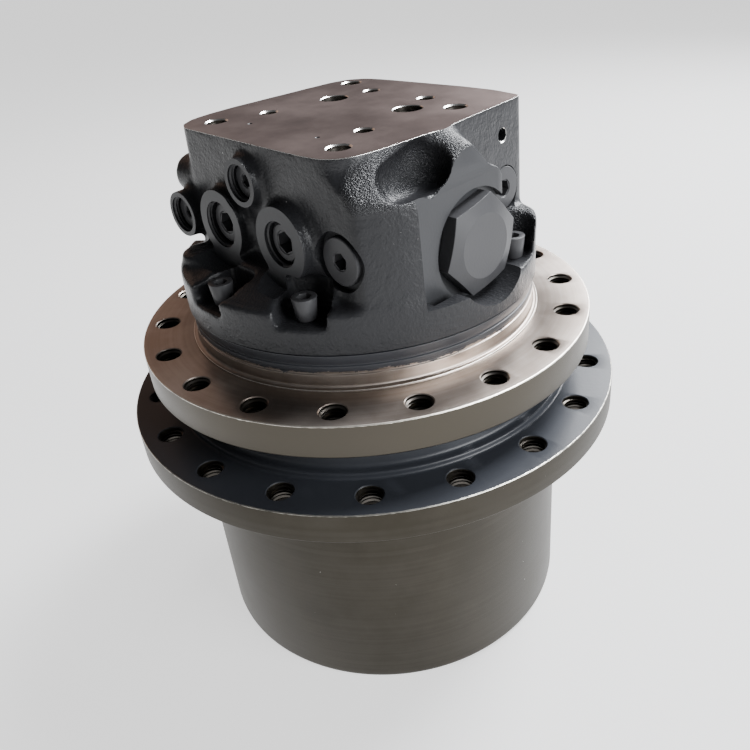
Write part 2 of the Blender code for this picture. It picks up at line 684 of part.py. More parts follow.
def make_main_bearing(name, low):
    """Angular contact ball bearing: race on the spindle, race in the hub, and balls in a cage."""
    middle = (SEAT_RADIUS + BEARING_OUTER) / 2
    height = low + BEARING_WIDTH / 2
    high = low + BEARING_WIDTH
    turns = (-TRACK_ARC, 0.0, TRACK_ARC)
    track = (BALL_RADIUS + 2 * GAP) / cos(TRACK_ARC / 2)
    seat = bore(SEAT_RADIUS, INNER_STEPS)
    inner_land = middle - track * cos(turns[0])
    outer_land = bore(middle + track * cos(turns[0]), INNER_STEPS, 0.0)
    inner = [(seat, low), (inner_land, low)]
    outer = [(outer_land, low), (BEARING_OUTER, low), (BEARING_OUTER, high), (outer_land, high)]
    inner += [(middle - track * cos(turn), height + track * sin(turn)) for turn in turns]
    outer += [
        (bore(middle + track * cos(turn), INNER_STEPS, 0.0), height + track * sin(turn))
        for turn in reversed(turns)
    ]
    inner += [(inner_land, high), (seat, high)]
    node(name + "_inner_race", turned(inner, INNER_STEPS), BEARING_STEEL)
    node(name + "_outer_race", turned(outer, INNER_STEPS), BEARING_STEEL)

    cage = tube(
        middle - CAGE_THICKNESS / 2,
        middle + CAGE_THICKNESS / 2,
        height - CAGE_WIDTH / 2,
        height + CAGE_WIDTH / 2,
        BALLS,
    )
    ring = node(name + "_balls", cage, BEARING_STEEL)
    balls = []
    for x, y, _ in around(BALLS, middle):
        ball = bmesh.new()
        bmesh.ops.create_uvsphere(
            ball,
            u_segments=6,
            v_segments=3,
            radius=BALL_RADIUS,
            matrix=Matrix.Translation((x, y, height)),
        )
        balls.append(ball)
    fuse(ring, together(balls), name + "_ball_set")


def make_spindle():
    """Fixed body: frame flange, neck, main bearing seats and the motor's cavity."""
    neck_groove = NECK_RADIUS - NECK_GROOVE
    outline = [
        (0.0, SPINDLE_END),
        (SEAT_RADIUS - SPINDLE_END_STEP, SPINDLE_END),
        (SEAT_RADIUS, NUT_BOTTOM),
        (SEAT_RADIUS, SEAT_TOP),
        (SEAL_SEAT_RADIUS, SEAT_TOP),
        (SEAL_SEAT_RADIUS, FRAME_FLANGE_BOTTOM),
        (FRAME_FLANGE_RADIUS - FLANGE_BEVEL, FRAME_FLANGE_BOTTOM),
        (FRAME_FLANGE_RADIUS, FRAME_FLANGE_BOTTOM + FLANGE_BEVEL),
        (FRAME_FLANGE_RADIUS, FRAME_FLANGE_TOP - FLANGE_BEVEL),
        (FRAME_FLANGE_RADIUS - FLANGE_BEVEL, FRAME_FLANGE_TOP),
        (PILOT_RADIUS, FRAME_FLANGE_TOP),
        (PILOT_RADIUS, FRAME_FLANGE_TOP + PILOT_HEIGHT),
        (NECK_RADIUS, FRAME_FLANGE_TOP + PILOT_HEIGHT),
        (NECK_RADIUS, NECK_GROOVE_HEIGHT - NECK_GROOVE),
        (neck_groove, NECK_GROOVE_HEIGHT),
        (NECK_RADIUS, NECK_GROOVE_HEIGHT + NECK_GROOVE),
        (NECK_RADIUS, NECK_TOP),
        (0.0, NECK_TOP),
    ]
    spindle = node("frame_spindle", turned(outline, OUTER_STEPS), TURNED)
    shaft_hole = bore(SHAFT_RADIUS, INNER_STEPS, SHAFT_ROOM)
    hollow = [
        (0.0, SPINDLE_END - OVERCUT),
        (shaft_hole, SPINDLE_END - OVERCUT),
        (shaft_hole, SHAFT_SEAL_BOTTOM - GAP),
        (bore(SHAFT_SEAL_RADIUS, INNER_STEPS), SHAFT_SEAL_BOTTOM - GAP),
        (bore(SHAFT_SEAL_RADIUS, INNER_STEPS), SHAFT_BEARING_BOTTOM - GAP),
        (bore(SHAFT_BEARING_RADIUS, INNER_STEPS), SHAFT_BEARING_BOTTOM - GAP),
        (bore(SHAFT_BEARING_RADIUS, INNER_STEPS), CAVITY_FLOOR),
        (CAVITY_STEP_RADIUS, CAVITY_FLOOR),
        (CAVITY_STEP_RADIUS, BRAKE_LEDGE),
        (CAVITY_RADIUS, BRAKE_LEDGE),
        (CAVITY_RADIUS, NECK_TOP + OVERCUT),
        (0.0, NECK_TOP + OVERCUT),
    ]
    cut(spindle, turned(hollow, INNER_STEPS), "motor_cavity")
    low, high = FRAME_FLANGE_BOTTOM - OVERCUT, FRAME_FLANGE_TOP + OVERCUT
    holes = [
        rod(FRAME_HOLE_RADIUS, low, high, HOLE_STEPS, (x, y))
        for x, y, _ in around(FRAME_HOLES, FRAME_HOLE_CIRCLE, FRAME_HOLE_ANGLE)
    ]
    cut(spindle, together(holes), "frame_holes")
    pin_hole = bore(PIN_2_RADIUS, PLUG_STEPS)
    pin_holes = [
        rod(pin_hole, SPINDLE_END - OVERCUT, SPINDLE_END + PIN_SEAT, PLUG_STEPS, (x, y))
        for x, y, _ in around(PLANETS, PLANET_2_CENTRE, STAGE_2_ANGLE)
    ]
    cut(spindle, together(pin_holes), "planet_pin_holes")

    cradle_top = swash_back(-CRADLE_RADIUS) - CRADLE_RELIEF
    blocks = []
    for side in (-1.0, 1.0):
        near, far = sorted((side * CRADLE_INNER, side * CRADLE_OUTER))
        low = (-CRADLE_RADIUS, near, CAVITY_FLOOR - ROOT)
        blocks.append(box(low, (CRADLE_RADIUS, far, cradle_top)))
    fuse(spindle, together(blocks), "swash_cradle_blocks")
    reach = CRADLE_OUTER + ROOT
    hollow = rod(bore(CRADLE_RADIUS, INNER_STEPS), -reach, reach, INNER_STEPS)
    cut(spindle, along_front(hollow, (0.0, 0.0, SWASH_CENTRE)), "swash_cradle_hollow")
    piston_hole = rod(
        bore(TILT_PISTON_RADIUS, HOLE_STEPS),
        tilt_piston_bottom() - FACE_GAP,
        CAVITY_FLOOR + OVERCUT,
        HOLE_STEPS,
        (-TILT_PISTON_REACH, 0.0),
    )
    cut(spindle, piston_hole, "tilt_piston_hole")


def swash_back(x):
    """Height of the swash plate's lower face, this far out along X."""
    return SWASH_CENTRE + x * tan(SWASH_TILT) - SWASH_THICKNESS / cos(SWASH_TILT)


def tilt_piston_top():
    return swash_back(-TILT_PISTON_REACH - TILT_PISTON_RADIUS) - FACE_GAP


def tilt_piston_bottom():
    return tilt_piston_top() - TILT_PISTON_LENGTH


def make_spindle_nut():
    """Slotted nut that clamps the lower bearing's race on the spindle."""
    low, high = NUT_BOTTOM, NUT_BOTTOM + NUT_THICKNESS
    ring = tube(bore(SEAT_RADIUS, INNER_STEPS), NUT_RADIUS, low, high, INNER_STEPS)
    nut = node("spindle_nut", ring, GEAR_STEEL)
    slots = []
    for _, _, angle in around(NUT_SLOTS, NUT_RADIUS):
        near = (NUT_RADIUS - NUT_SLOT_DEPTH, -NUT_SLOT_WIDTH / 2, low - OVERCUT)
        slot = box(near, (NUT_RADIUS + OVERCUT, NUT_SLOT_WIDTH / 2, high + OVERCUT))
        slots.append(placed(slot, Matrix.Rotation(angle, 4, "Z")))
    cut(nut, together(slots), "spindle_nut_slots")


def toric(name, radius, height, steps):
    """Rubber ring that presses a metal seal ring to its mate."""
    outline = [
        (radius + TORIC_RADIUS * cos(turn * pi / 3), height + TORIC_RADIUS * sin(turn * pi / 3))
        for turn in range(6)
    ]
    node(name, turned(outline, steps), SEAL_RUBBER)


def make_face_seal():
    """Two lapped metal rings face to face, each on its own rubber ring."""
    meet = (SEAL_FLOOR + FRAME_FLANGE_BOTTOM) / 2
    face = meet - FACE_GAP / 2
    inner = SEAL_SEAT_RADIUS + 2 * TORIC_RADIUS + 2 * GAP
    stem = bore(SEAL_BORE, BORE_STEPS, 0.0) - 2 * TORIC_RADIUS - 2 * GAP
    hub_ring = [
        (inner, face - SEAL_RING_WIDTH),
        (stem, face - SEAL_RING_WIDTH),
        (stem, face - SEAL_FLANGE_WIDTH),
        (SEAL_OUTER, face - SEAL_FLANGE_WIDTH),
        (SEAL_OUTER, face),
        (inner, face),
    ]
    node("hub_seal_ring", turned(hub_ring, BORE_STEPS), BEARING_STEEL)
    frame_ring = [(radius, 2 * meet - height) for radius, height in reversed(hub_ring)]
    node("frame_seal_ring", turned(frame_ring, OUTER_STEPS), BEARING_STEEL)
    rise = (SEAL_RING_WIDTH + SEAL_FLANGE_WIDTH) / 2
    toric("hub_toric_ring", stem + GAP + TORIC_RADIUS, meet - rise, BORE_STEPS)
    toric("frame_toric_ring", inner - GAP - TORIC_RADIUS, meet + rise, OUTER_STEPS)


def make_planets(stage, teeth, centre, first, low, high, pin_radius):
    """Three planets of one stage, each with a tooth pointing at the ring gear."""
    for letter, (x, y, angle) in zip("abc", around(PLANETS, centre, first)):
        bore_radius = bore(pin_radius, PLUG_STEPS)
        gear("planet_%d_%s" % (stage, letter), teeth, angle, low, high, bore_radius, (x, y, 0.0))


def make_stage_1():
    """Input sun on its long shaft, and the carrier that its planets drive."""
    low, high = PLANET_1_BOTTOM, PLANET_1_TOP
    make_planets(1, PLANET_1_TEETH, PLANET_1_CENTRE, STAGE_1_ANGLE, low, high, PIN_1_RADIUS)
    rim = PLANET_1_CENTRE + PIN_1_RADIUS + CARRIER_RIM
    hole = bore(SUN_2_SPIGOT, INNER_STEPS)
    carrier = node("carrier_1", tube(hole, rim, CARRIER_BOTTOM, CARRIER_TOP, INNER_STEPS), GEAR_STEEL)
    pins = [
        rod(PIN_1_RADIUS, low - CARRIER_PIN_INSET, CARRIER_TOP - CARRIER_PIN_INSET, PLUG_STEPS, (x, y))
        for x, y, _ in around(PLANETS, PLANET_1_CENTRE, STAGE_1_ANGLE)
    ]
    fuse(carrier, together(pins), "carrier_1_pins")

    first = STAGE_1_ANGLE + pi / SUN_1_TEETH * (1 - PLANET_1_TEETH % 2)
    sun = node("sun_gear_1", prism(gear_outline(SUN_1_TEETH, first), low, high), GEAR_STEEL)
    stem = rod(SUN_SHAFT_RADIUS, high - ROOT, SHAFT_END, INNER_STEPS)
    fuse(sun, stem, "sun_gear_1_shaft")


def make_stage_2():
    """Output stage: its planets turn on pins fixed in the spindle, so the ring gear drives the hub."""
    low, high = PLANET_2_BOTTOM, PLANET_2_TOP
    make_planets(2, PLANET_2_TEETH, PLANET_2_CENTRE, STAGE_2_ANGLE, low, high, PIN_2_RADIUS)
    for letter, (x, y, _) in zip("abc", around(PLANETS, PLANET_2_CENTRE, STAGE_2_ANGLE)):
        pin = rod(PIN_2_RADIUS, THRUST_BOTTOM, SPINDLE_END + PIN_SEAT - FACE_GAP, PLUG_STEPS)
        node("planet_pin_2_" + letter, pin, GEAR_STEEL, (x, y, 0.0))
    plate = tube(
        MODULE * (SUN_2_TEETH / 2 + ADDENDUM) + THRUST_ROOM,
        PLANET_2_CENTRE + PIN_2_RADIUS + THRUST_ROOM,
        THRUST_BOTTOM,
        THRUST_BOTTOM + THRUST_THICKNESS,
        INNER_STEPS,
    )
    thrust = node("thrust_plate", plate, BRONZE)
    pin_hole = bore(PIN_2_RADIUS, PLUG_STEPS)
    holes = [
        rod(pin_hole, THRUST_BOTTOM - OVERCUT, low + OVERCUT, PLUG_STEPS, (x, y))
        for x, y, _ in around(PLANETS, PLANET_2_CENTRE, STAGE_2_ANGLE)
    ]
    cut(thrust, together(holes), "thrust_plate_holes")

    first = STAGE_2_ANGLE + pi / SUN_2_TEETH * (1 - PLANET_2_TEETH % 2)
    sun = node("sun_gear_2", prism(gear_outline(SUN_2_TEETH, first), low, high), GEAR_STEEL)
    fuse(sun, rod(SUN_2_SPIGOT, CARRIER_BOTTOM, low + ROOT, INNER_STEPS), "sun_gear_2_spigot")
    hole = rod(SUN_2_BORE, CARRIER_BOTTOM - OVERCUT, high + OVERCUT, INNER_STEPS)
    cut(sun, hole, "sun_gear_2_bore")


def make_motor_shaft():
    """Shaft from the sun's coupling up through the cylinder block, with its bearings and oil seal."""
    rear_top = SPIGOT_BOTTOM + REAR_BEARING_WIDTH
    outline = [
        (0.0, SHAFT_END + FACE_GAP),
        (SHAFT_RADIUS, SHAFT_END + FACE_GAP),
        (SHAFT_RADIUS, VALVE_PLATE_BOTTOM),
        (SHAFT_END_RADIUS, VALVE_PLATE_BOTTOM),
        (SHAFT_END_RADIUS, rear_top),
        (0.0, rear_top),
    ]
    node("motor_shaft", turned(outline, INNER_STEPS), GEAR_STEEL)
    lower = tube(
        bore(SHAFT_RADIUS, INNER_STEPS),
        SHAFT_BEARING_RADIUS,
        SHAFT_BEARING_BOTTOM,
        CAVITY_FLOOR - GAP,
        INNER_STEPS,
    )
    node("shaft_bearing_lower", lower, BEARING_STEEL)
    upper = tube(
        bore(SHAFT_END_RADIUS, INNER_STEPS),
        REAR_BEARING_RADIUS,
        SPIGOT_BOTTOM + GAP,
        rear_top,
        INNER_STEPS,
    )
    node("shaft_bearing_upper", upper, BEARING_STEEL)
    seal = tube(
        bore(SHAFT_RADIUS, INNER_STEPS),
        SHAFT_SEAL_RADIUS,
        SHAFT_SEAL_BOTTOM,
        SHAFT_BEARING_BOTTOM - 2 * GAP,
        INNER_STEPS,
    )
    node("shaft_oil_seal", seal, SEAL_RUBBER)


def make_swash_plate():
    """Tilting plate that the pistons push on, with two round-backed lands in the spindle's cradle."""
    disc = rod(SWASH_RADIUS, -SWASH_THICKNESS, 0.0, INNER_STEPS)
    plate = node(
        "swash_plate",
        placed(disc, Matrix.Rotation(-SWASH_TILT, 4, "Y")),
        GEAR_STEEL,
        (0.0, 0.0, SWASH_CENTRE),
    )
    lands = []
    turns = [pi + pi * step / LAND_STEPS for step in range(1, LAND_STEPS)]
    arc = [(CRADLE_RADIUS * cos(turn), CRADLE_RADIUS * sin(turn)) for turn in turns]
    outline = [(x, min(z, -SWASH_THICKNESS / 2)) for x, z in arc]
    for side in (-1.0, 1.0):
        near, far = sorted((side * (CRADLE_INNER + GAP), side * (CRADLE_OUTER - GAP)))
        points = [(x, y, z) for x, z in outline for y in (near, far)]
        lands.append(placed(hull(points), Matrix.Rotation(-SWASH_TILT, 4, "Y")))
    fuse(plate, together(lands), "swash_plate_lands")
    cut(plate, rod(SWASH_BORE, -SWASH_RADIUS, SWASH_RADIUS, INNER_STEPS), "swash_plate_bore")

    piston = rod(TILT_PISTON_RADIUS, tilt_piston_bottom(), tilt_piston_top(), HOLE_STEPS)
    node("tilt_piston", piston, GEAR_STEEL, (-TILT_PISTON_REACH, 0.0, 0.0))


def make_rotating_group():
    """Cylinder block on the shaft, and the pistons with the shoes and the retainer that holds them."""
    top = BLOCK_BOTTOM + BLOCK_HEIGHT
    barrel = tube(bore(SHAFT_RADIUS, INNER_STEPS), BLOCK_RADIUS, BLOCK_BOTTOM, top, INNER_STEPS)
    block = node("cylinder_block", barrel, GEAR_STEEL)
    shoe_top = SHOE_BOTTOM + SHOE_THICKNESS
    piston_top = shoe_top + PISTON_LENGTH
    piston_bore = bore(PISTON_RADIUS, HOLE_STEPS)
    bores = [
        rod(piston_bore, BLOCK_BOTTOM - OVERCUT, piston_top + PISTON_ROOM, HOLE_STEPS, (x, y))
        for x, y, _ in around(PISTONS, PISTON_CIRCLE)
    ]
    cut(block, together(bores), "cylinder_bores")

    low = SHOE_BOTTOM + RETAINER_RISE
    inner, outer = PISTON_CIRCLE - RETAINER_INWARD, PISTON_CIRCLE + RETAINER_OUTWARD
    retainer = tube(inner, outer, low, low + RETAINER_THICKNESS, INNER_STEPS)
    pistons = node("piston_set", retainer, BRONZE)
    shoes = []
    for x, y, _ in around(PISTONS, PISTON_CIRCLE):
        outline = [
            (0.0, SHOE_BOTTOM),
            (SHOE_RADIUS, SHOE_BOTTOM),
            (SHOE_RADIUS, shoe_top),
            (PISTON_NECK, shoe_top),
            (PISTON_RADIUS, shoe_top + PISTON_SHOULDER),
            (PISTON_RADIUS, piston_top),
            (0.0, piston_top),
        ]
        shoes.append(placed(turned(outline, HOLE_STEPS), Matrix.Translation((x, y, 0.0))))
    fuse(pistons, together(shoes), "pistons_and_shoes")


def make_valve_plate():
    """Plate with two kidney ports between the cylinder block and the port block."""
    high = VALVE_PLATE_BOTTOM + VALVE_PLATE_THICKNESS
    hole = bore(SHAFT_RADIUS, INNER_STEPS)
    disc = tube(hole, VALVE_PLATE_RADIUS, VALVE_PLATE_BOTTOM, high, INNER_STEPS)
    plate = node("valve_plate", disc, BRONZE)
    slots = []
    for middle in (0.0, pi):
        turns = [middle + KIDNEY_SPAN * (step / HOLE_STEPS - 0.5) for step in range(HOLE_STEPS + 1)]
        sides = []
        for radius in (PISTON_CIRCLE + KIDNEY_RADIUS, PISTON_CIRCLE - KIDNEY_RADIUS):
            sides.append([(radius * cos(turn), radius * sin(turn)) for turn in turns])
        outline = sides[0] + sides[1][::-1]
        slots.append(prism(outline, VALVE_PLATE_BOTTOM - OVERCUT, high + OVERCUT))
    cut(plate, together(slots), "valve_plate_kidneys")


def make_brake():
    """Parking brake: one friction disc on the cylinder block between two plates, under a sprung piston."""
    height = BRAKE_LEDGE + FACE_GAP
    wall = CAVITY_RADIUS - GAP
    lower = tube(BRAKE_PLATE_INNER, wall, height, height + BRAKE_PLATE_THICKNESS, INNER_STEPS)
    node("brake_plate_lower", lower, GEAR_STEEL)
    height += BRAKE_PLATE_THICKNESS + FACE_GAP
    hole = bore(BLOCK_RADIUS, INNER_STEPS)
    disc = tube(hole, BRAKE_DISC_OUTER, height, height + BRAKE_DISC_THICKNESS, INNER_STEPS)
    node("brake_disc", disc, FRICTION)
    height += BRAKE_DISC_THICKNESS + FACE_GAP
    upper = tube(BRAKE_PLATE_INNER, wall, height, height + BRAKE_PLATE_THICKNESS, INNER_STEPS)
    node("brake_plate_upper", upper, GEAR_STEEL)
    height += BRAKE_PLATE_THICKNESS + FACE_GAP
    top = SPIGOT_BOTTOM - BRAKE_ROOM - BRAKE_SPRING_HEIGHT - FACE_GAP
    piston = tube(BRAKE_PISTON_INNER, wall, height, top, INNER_STEPS)
    node("brake_piston", piston, GEAR_STEEL)
    height = top + FACE_GAP
    rise = BRAKE_SPRING_HEIGHT - BRAKE_SPRING_THICKNESS
    spring = [
        (BRAKE_PISTON_INNER, height),
        (wall - BRAKE_SPRING_INSET, height + rise),
        (wall - BRAKE_SPRING_INSET, height + rise + BRAKE_SPRING_THICKNESS),
        (BRAKE_PISTON_INNER, height + BRAKE_SPRING_THICKNESS),
    ]
    node("brake_spring", turned(spring, INNER_STEPS), SPRING_STEEL)


def rounded_rectangle(left, right, front, back, corner, steps=4):
    """Points round a rectangle with round corners, counterclockwise."""
    centres = (
        (right - corner, front + corner, -pi / 2),
        (right - corner, back - corner, 0.0),
        (left + corner, back - corner, pi / 2),
        (left + corner, front + corner, pi),
    )
    return [
        (x + corner * cos(start + pi / 2 * step / steps), y + corner * sin(start + pi / 2 * step / steps))
        for x, y, start in centres
        for step in range(steps + 1)
    ]


def pad_outline():
    """The right pad's face in y and z: a square shoulder in front, a peaked lobe and a step behind."""
    lobe = []
    for step in range(LOBE_STEPS + 1):
        share = step / LOBE_STEPS
        y = LOBE_START_Y + (PAD_PEAK_Y - LOBE_START_Y) * share
        z = PAD_SHOULDER + (PAD_PEAK - PAD_SHOULDER) * sin(share * pi / 2)
        lobe.append((y, z))
    front = [(PAD_FRONT, BODY_ROOT), (PAD_FRONT, PAD_SHOULDER)]
    back = [
        (PAD_STEP_Y, BLOCK_TOP - PAD_STEP_DROP),
        (PAD_BACK, BLOCK_TOP - PAD_CORNER_DROP),
        (PAD_BACK, BODY_ROOT),
    ]
    return front + lobe + [(PEAK_END_Y, PAD_PEAK)] + back


def make_port_block():
    """Painted iron casting over the motor: round rim, square body, spool housing, bosses and ports."""
    spigot = CAVITY_RADIUS * cos(pi / INNER_STEPS) - GAP
    bearing_bore = bore(REAR_BEARING_RADIUS, INNER_STEPS)
    bearing_end = SPIGOT_BOTTOM + REAR_BEARING_WIDTH + GAP
    rim = [
        (0.0, bearing_end),
        (bearing_bore, bearing_end),
        (bearing_bore, SPIGOT_BOTTOM),
        (spigot, SPIGOT_BOTTOM),
        (spigot, PORT_BLOCK_BOTTOM),
        (RIM_RADIUS, PORT_BLOCK_BOTTOM),
        (RIM_RADIUS, RIM_TOP - RIM_BEVEL),
        (RIM_RADIUS - RIM_BEVEL, RIM_TOP),
        (0.0, RIM_TOP),
    ]
    casting = node("port_block", turned(rim, OUTER_STEPS), CASTING)
    body = rounded_rectangle(BODY_LEFT, BODY_RIGHT, BODY_FRONT, BODY_BACK, BODY_CORNER)
    fuse(casting, prism(body, BODY_ROOT, BLOCK_TOP), "block_body")
    fuse(casting, front_bulge(), "block_bulge")
    pad = prism([(-z, y) for y, z in reversed(pad_outline())], BODY_RIGHT - PAD_ROOT, PAD_FACE)
    fuse(casting, along_x(pad, (0.0, 0.0, 0.0)), "spool_housing_right")
    left = rod(LEFT_PAD_RADIUS, LEFT_PAD_FACE, BODY_LEFT + PAD_ROOT, INNER_STEPS)
    fuse(casting, along_x(left, (0.0, SPOOL_Y, SPOOL_Z)), "spool_housing_left")
    fuse(casting, hull(shelf_points()), "front_shelf")
    lugs = []
    for degrees in LUG_ANGLES:
        angle = radians(degrees)
        place = ((RIM_RADIUS - LUG_INSET) * cos(angle), (RIM_RADIUS - LUG_INSET) * sin(angle))
        lugs.append(rod(LUG_RADIUS, BODY_ROOT, RIM_TOP + LUG_RISE, PLUG_STEPS, place))
    fuse(casting, together(lugs), "cast_lugs")
    for number, (x, drop, radius, length, *_) in enumerate(FRONT_PLUGS, 1):
        if length > 0.0:
            boss = rod(radius, -BOSS_ROOT, length, PLUG_STEPS)
            place = (x, BODY_FRONT, BLOCK_TOP - drop)
            fuse(casting, along_front(boss, place), "front_boss_%d" % number)
    left_boss = rod(LEFT_BOSS_RADIUS, BODY_LEFT - LEFT_BOSS_LENGTH, BODY_LEFT + BOSS_ROOT, HOLE_STEPS)
    fuse(casting, along_x(left_boss, (0.0, LEFT_BOSS_Y, BLOCK_TOP - LEFT_BOSS_DROP)), "left_boss")
    cut_port_block(casting)


def front_bulge():
    """Cast corner between the front wall and the right pad, from the rim up to a shoulder."""
    points = []
    start = atan2(BODY_FRONT, sqrt(BULGE_RADIUS**2 - BODY_FRONT**2))
    end = atan2(PAD_FRONT, PAD_FACE)
    levels = (
        (BULGE_RADIUS, BODY_ROOT),
        (BULGE_RADIUS, RIM_TOP),
        (BULGE_SHOULDER_RADIUS, BULGE_SHOULDER),
    )
    for radius, height in levels:
        for step in range(BULGE_STEPS + 1):
            angle = start + (end - start) * step / BULGE_STEPS
            x, y = radius * cos(angle), radius * sin(angle)
            points.append((min(x, PAD_FACE), max(y, BODY_FRONT), height))
    inner = BODY_RIGHT - BODY_CORNER
    behind = PAD_FRONT + BULGE_BEHIND
    for height in (BODY_ROOT, BULGE_SHOULDER):
        points += [(inner, BODY_FRONT, height), (inner, behind, height), (PAD_FACE, behind, height)]
    points.append((inner, BODY_FRONT, BLOCK_TOP - BULGE_TOP_DROP))
    points.append((BODY_RIGHT, BODY_FRONT + BODY_CORNER, BLOCK_TOP - BULGE_TOP_DROP))
    return hull(points)


def shelf_points():
    """Sloping shelf under the front plugs, from the wall down to the rim."""
    left, right = BODY_LEFT + SHELF_END, BODY_RIGHT - SHELF_END
    back = BODY_FRONT + SHELF_ROOT
    points = []
    for x in (left, (left + right) / 2, right):
        front = min(back, -sqrt((RIM_RADIUS - SHELF_INSET) ** 2 - x**2))
        points.append((x, back, RIM_TOP + SHELF_RISE))
        points.append((x, back, RIM_TOP - SHELF_DEPTH))
        points.append((x, front, RIM_TOP + SHELF_LIP))
        points.append((x, front, RIM_TOP - SHELF_DEPTH))
    return points


def spool_line(solid):
    return along_x(solid, (0.0, SPOOL_Y, SPOOL_Z))


def cut_port_block(casting):
    """Machined faces, bores, pockets and ports of the casting."""
    scoop = []
    for x, y, drop, radius in SCOOP_ENDS:
        ball = bmesh.new()
        bmesh.ops.create_uvsphere(ball, u_segments=SCOOP_STEPS, v_segments=SCOOP_STEPS // 2, radius=radius)
        centre = Vector((x, y, BLOCK_TOP - drop))
        scoop += [centre + vert.co for vert in ball.verts]
        ball.free()
    cut(casting, hull(scoop), "cast_scoop")
    past_rim = RIM_RADIUS + OVERCUT
    face = box((PAD_FACE, PAD_FRONT, BODY_ROOT), (past_rim, PAD_BACK, SPOOL_Z))
    cut(casting, face, "pad_face_mill")
    spot = rod(SPOTFACE_RADIUS, PAD_FACE - SPOTFACE_DEPTH, past_rim, INNER_STEPS)
    cut(casting, spool_line(spot), "spotface_right")
    spot = rod(SPOTFACE_RADIUS, -past_rim, LEFT_PAD_FACE + SPOTFACE_DEPTH, INNER_STEPS)
    cut(casting, spool_line(spot), "spotface_left")
    shank = bore(PLUG_SHANK_RADIUS, INNER_STEPS)
    middle = bore(SPOOL_RADIUS, PLUG_STEPS)
    right_end = PAD_FACE - PLUG_SHANK_LENGTH - SPOTFACE_DEPTH - GAP
    left_end = LEFT_PAD_FACE + PLUG_SHANK_LENGTH + SPOTFACE_DEPTH + GAP
    turned_bore = turned(
        [
            (0.0, -past_rim),
            (shank, -past_rim),
            (shank, left_end),
            (middle, left_end),
            (middle, right_end),
            (shank, right_end),
            (shank, past_rim),
            (0.0, past_rim),
        ],
        INNER_STEPS,
    )
    cut(casting, spool_line(turned_bore), "spool_bore")

    holes = []
    for x, y, radius, depth in FACE_HOLES:
        holes.append(rod(radius, BLOCK_TOP - depth, BLOCK_TOP + OVERCUT, HOLE_STEPS, (x, y)))
    for x, y, radius, depth in PORTS:
        mouth = turned(
            [
                (0.0, BLOCK_TOP - depth),
                (radius, BLOCK_TOP - depth),
                (radius, BLOCK_TOP - PORT_MOUTH_DEPTH),
                (PORT_MOUTH_RADIUS, BLOCK_TOP - PORT_MOUTH_DEPTH),
                (PORT_MOUTH_RADIUS, BLOCK_TOP + OVERCUT),
                (0.0, BLOCK_TOP + OVERCUT),
            ],
            HOLE_STEPS,
        )
        holes.append(placed(mouth, Matrix.Translation((x, y, 0.0))))
    cut(casting, together(holes), "port_face_holes")

    plugs = []
    for x, drop, _, length, radius, depth, _ in FRONT_PLUGS:
        deep = depth + PLUG_LENGTH + FACE_GAP
        hole = rod(bore(radius, PLUG_STEPS), length - deep, length + OVERCUT, PLUG_STEPS)
        plugs.append(along_front(hole, (x, BODY_FRONT, BLOCK_TOP - drop)))
    cut(casting, together(plugs), "front_plug_holes")

    side = rod(
        bore(SIDE_PLUG_RADIUS, PLUG_STEPS),
        BODY_RIGHT - PLUG_LENGTH - FACE_GAP,
        BODY_RIGHT + OVERCUT,
        PLUG_STEPS,
    )
    tap = rod(SIDE_TAP_RADIUS, BODY_RIGHT - SIDE_TAP_DEPTH, BODY_RIGHT + OVERCUT, HOLE_STEPS)
    sides = [
        along_x(side, (0.0, SIDE_PLUG_Y, BLOCK_TOP - SIDE_PLUG_DROP)),
        along_x(tap, (0.0, SIDE_PLUG_Y, BLOCK_TOP - SIDE_TAP_DROP)),
    ]
    cut(casting, together(sides), "side_holes")

    pockets = []
    screw_holes = []
    for degrees in SCREW_ANGLES:
        angle = radians(degrees)
        x, y = SCREW_CIRCLE * cos(angle), SCREW_CIRCLE * sin(angle)
        if degrees in LUG_ANGLES:
            pockets.append(rod(POCKET_RADIUS, POCKET_FLOOR, POCKET_TOP, PLUG_STEPS, (x, y)))
        else:
            near = (SCREW_CIRCLE - NOTCH_INNER, -NOTCH_WIDTH / 2, POCKET_FLOOR)
            notch = box(near, (past_rim, NOTCH_WIDTH / 2, POCKET_TOP))
            pockets.append(placed(notch, Matrix.Rotation(angle, 4, "Z")))
        low, high = PORT_BLOCK_BOTTOM - OVERCUT, POCKET_FLOOR + OVERCUT
        screw_holes.append(rod(SCREW_HOLE_RADIUS, low, high, HOLE_STEPS, (x, y)))
    cut(casting, together(pockets), "screw_pockets")
    cut(casting, together(screw_holes), "screw_holes")


def spool_plug(name, face, side):
    """Hexagon-headed plug that closes one end of the spool's bore."""
    seat = FACE_GAP - SPOTFACE_DEPTH
    top = seat + HEX_LENGTH
    corner = HEX_FLATS / 2 / cos(pi / 6) + ROOT
    chamfer = [
        (0.0, seat - ROOT),
        (corner, seat - ROOT),
        (corner, top - (corner - HEX_CHAMFER_RADIUS) * tan(HEX_CHAMFER_SLOPE)),
        (HEX_CHAMFER_RADIUS, top),
        (0.0, top),
    ]
    head = prism(hexagon(HEX_FLATS, HEX_TURN), seat, top)
    plug = node(name, head, PLUG_STEEL, (face, SPOOL_Y, SPOOL_Z))
    plug.rotation_euler = (0.0, side * pi / 2, 0.0)
    cone = turned(chamfer, INNER_STEPS)
    combine(plug, cone, name + "_chamfer", "INTERSECT")
    shank = rod(PLUG_SHANK_RADIUS, -PLUG_SHANK_LENGTH, seat + ROOT, INNER_STEPS)
    fuse(plug, shank, name + "_shank")
    spring_room = SPRING_COIL_RADIUS + SPRING_WIRE + 2 * GAP
    room = rod(spring_room, -PLUG_SHANK_LENGTH - OVERCUT, -SPRING_SEAT, INNER_STEPS)
    cut(plug, room, name + "_spring_room")


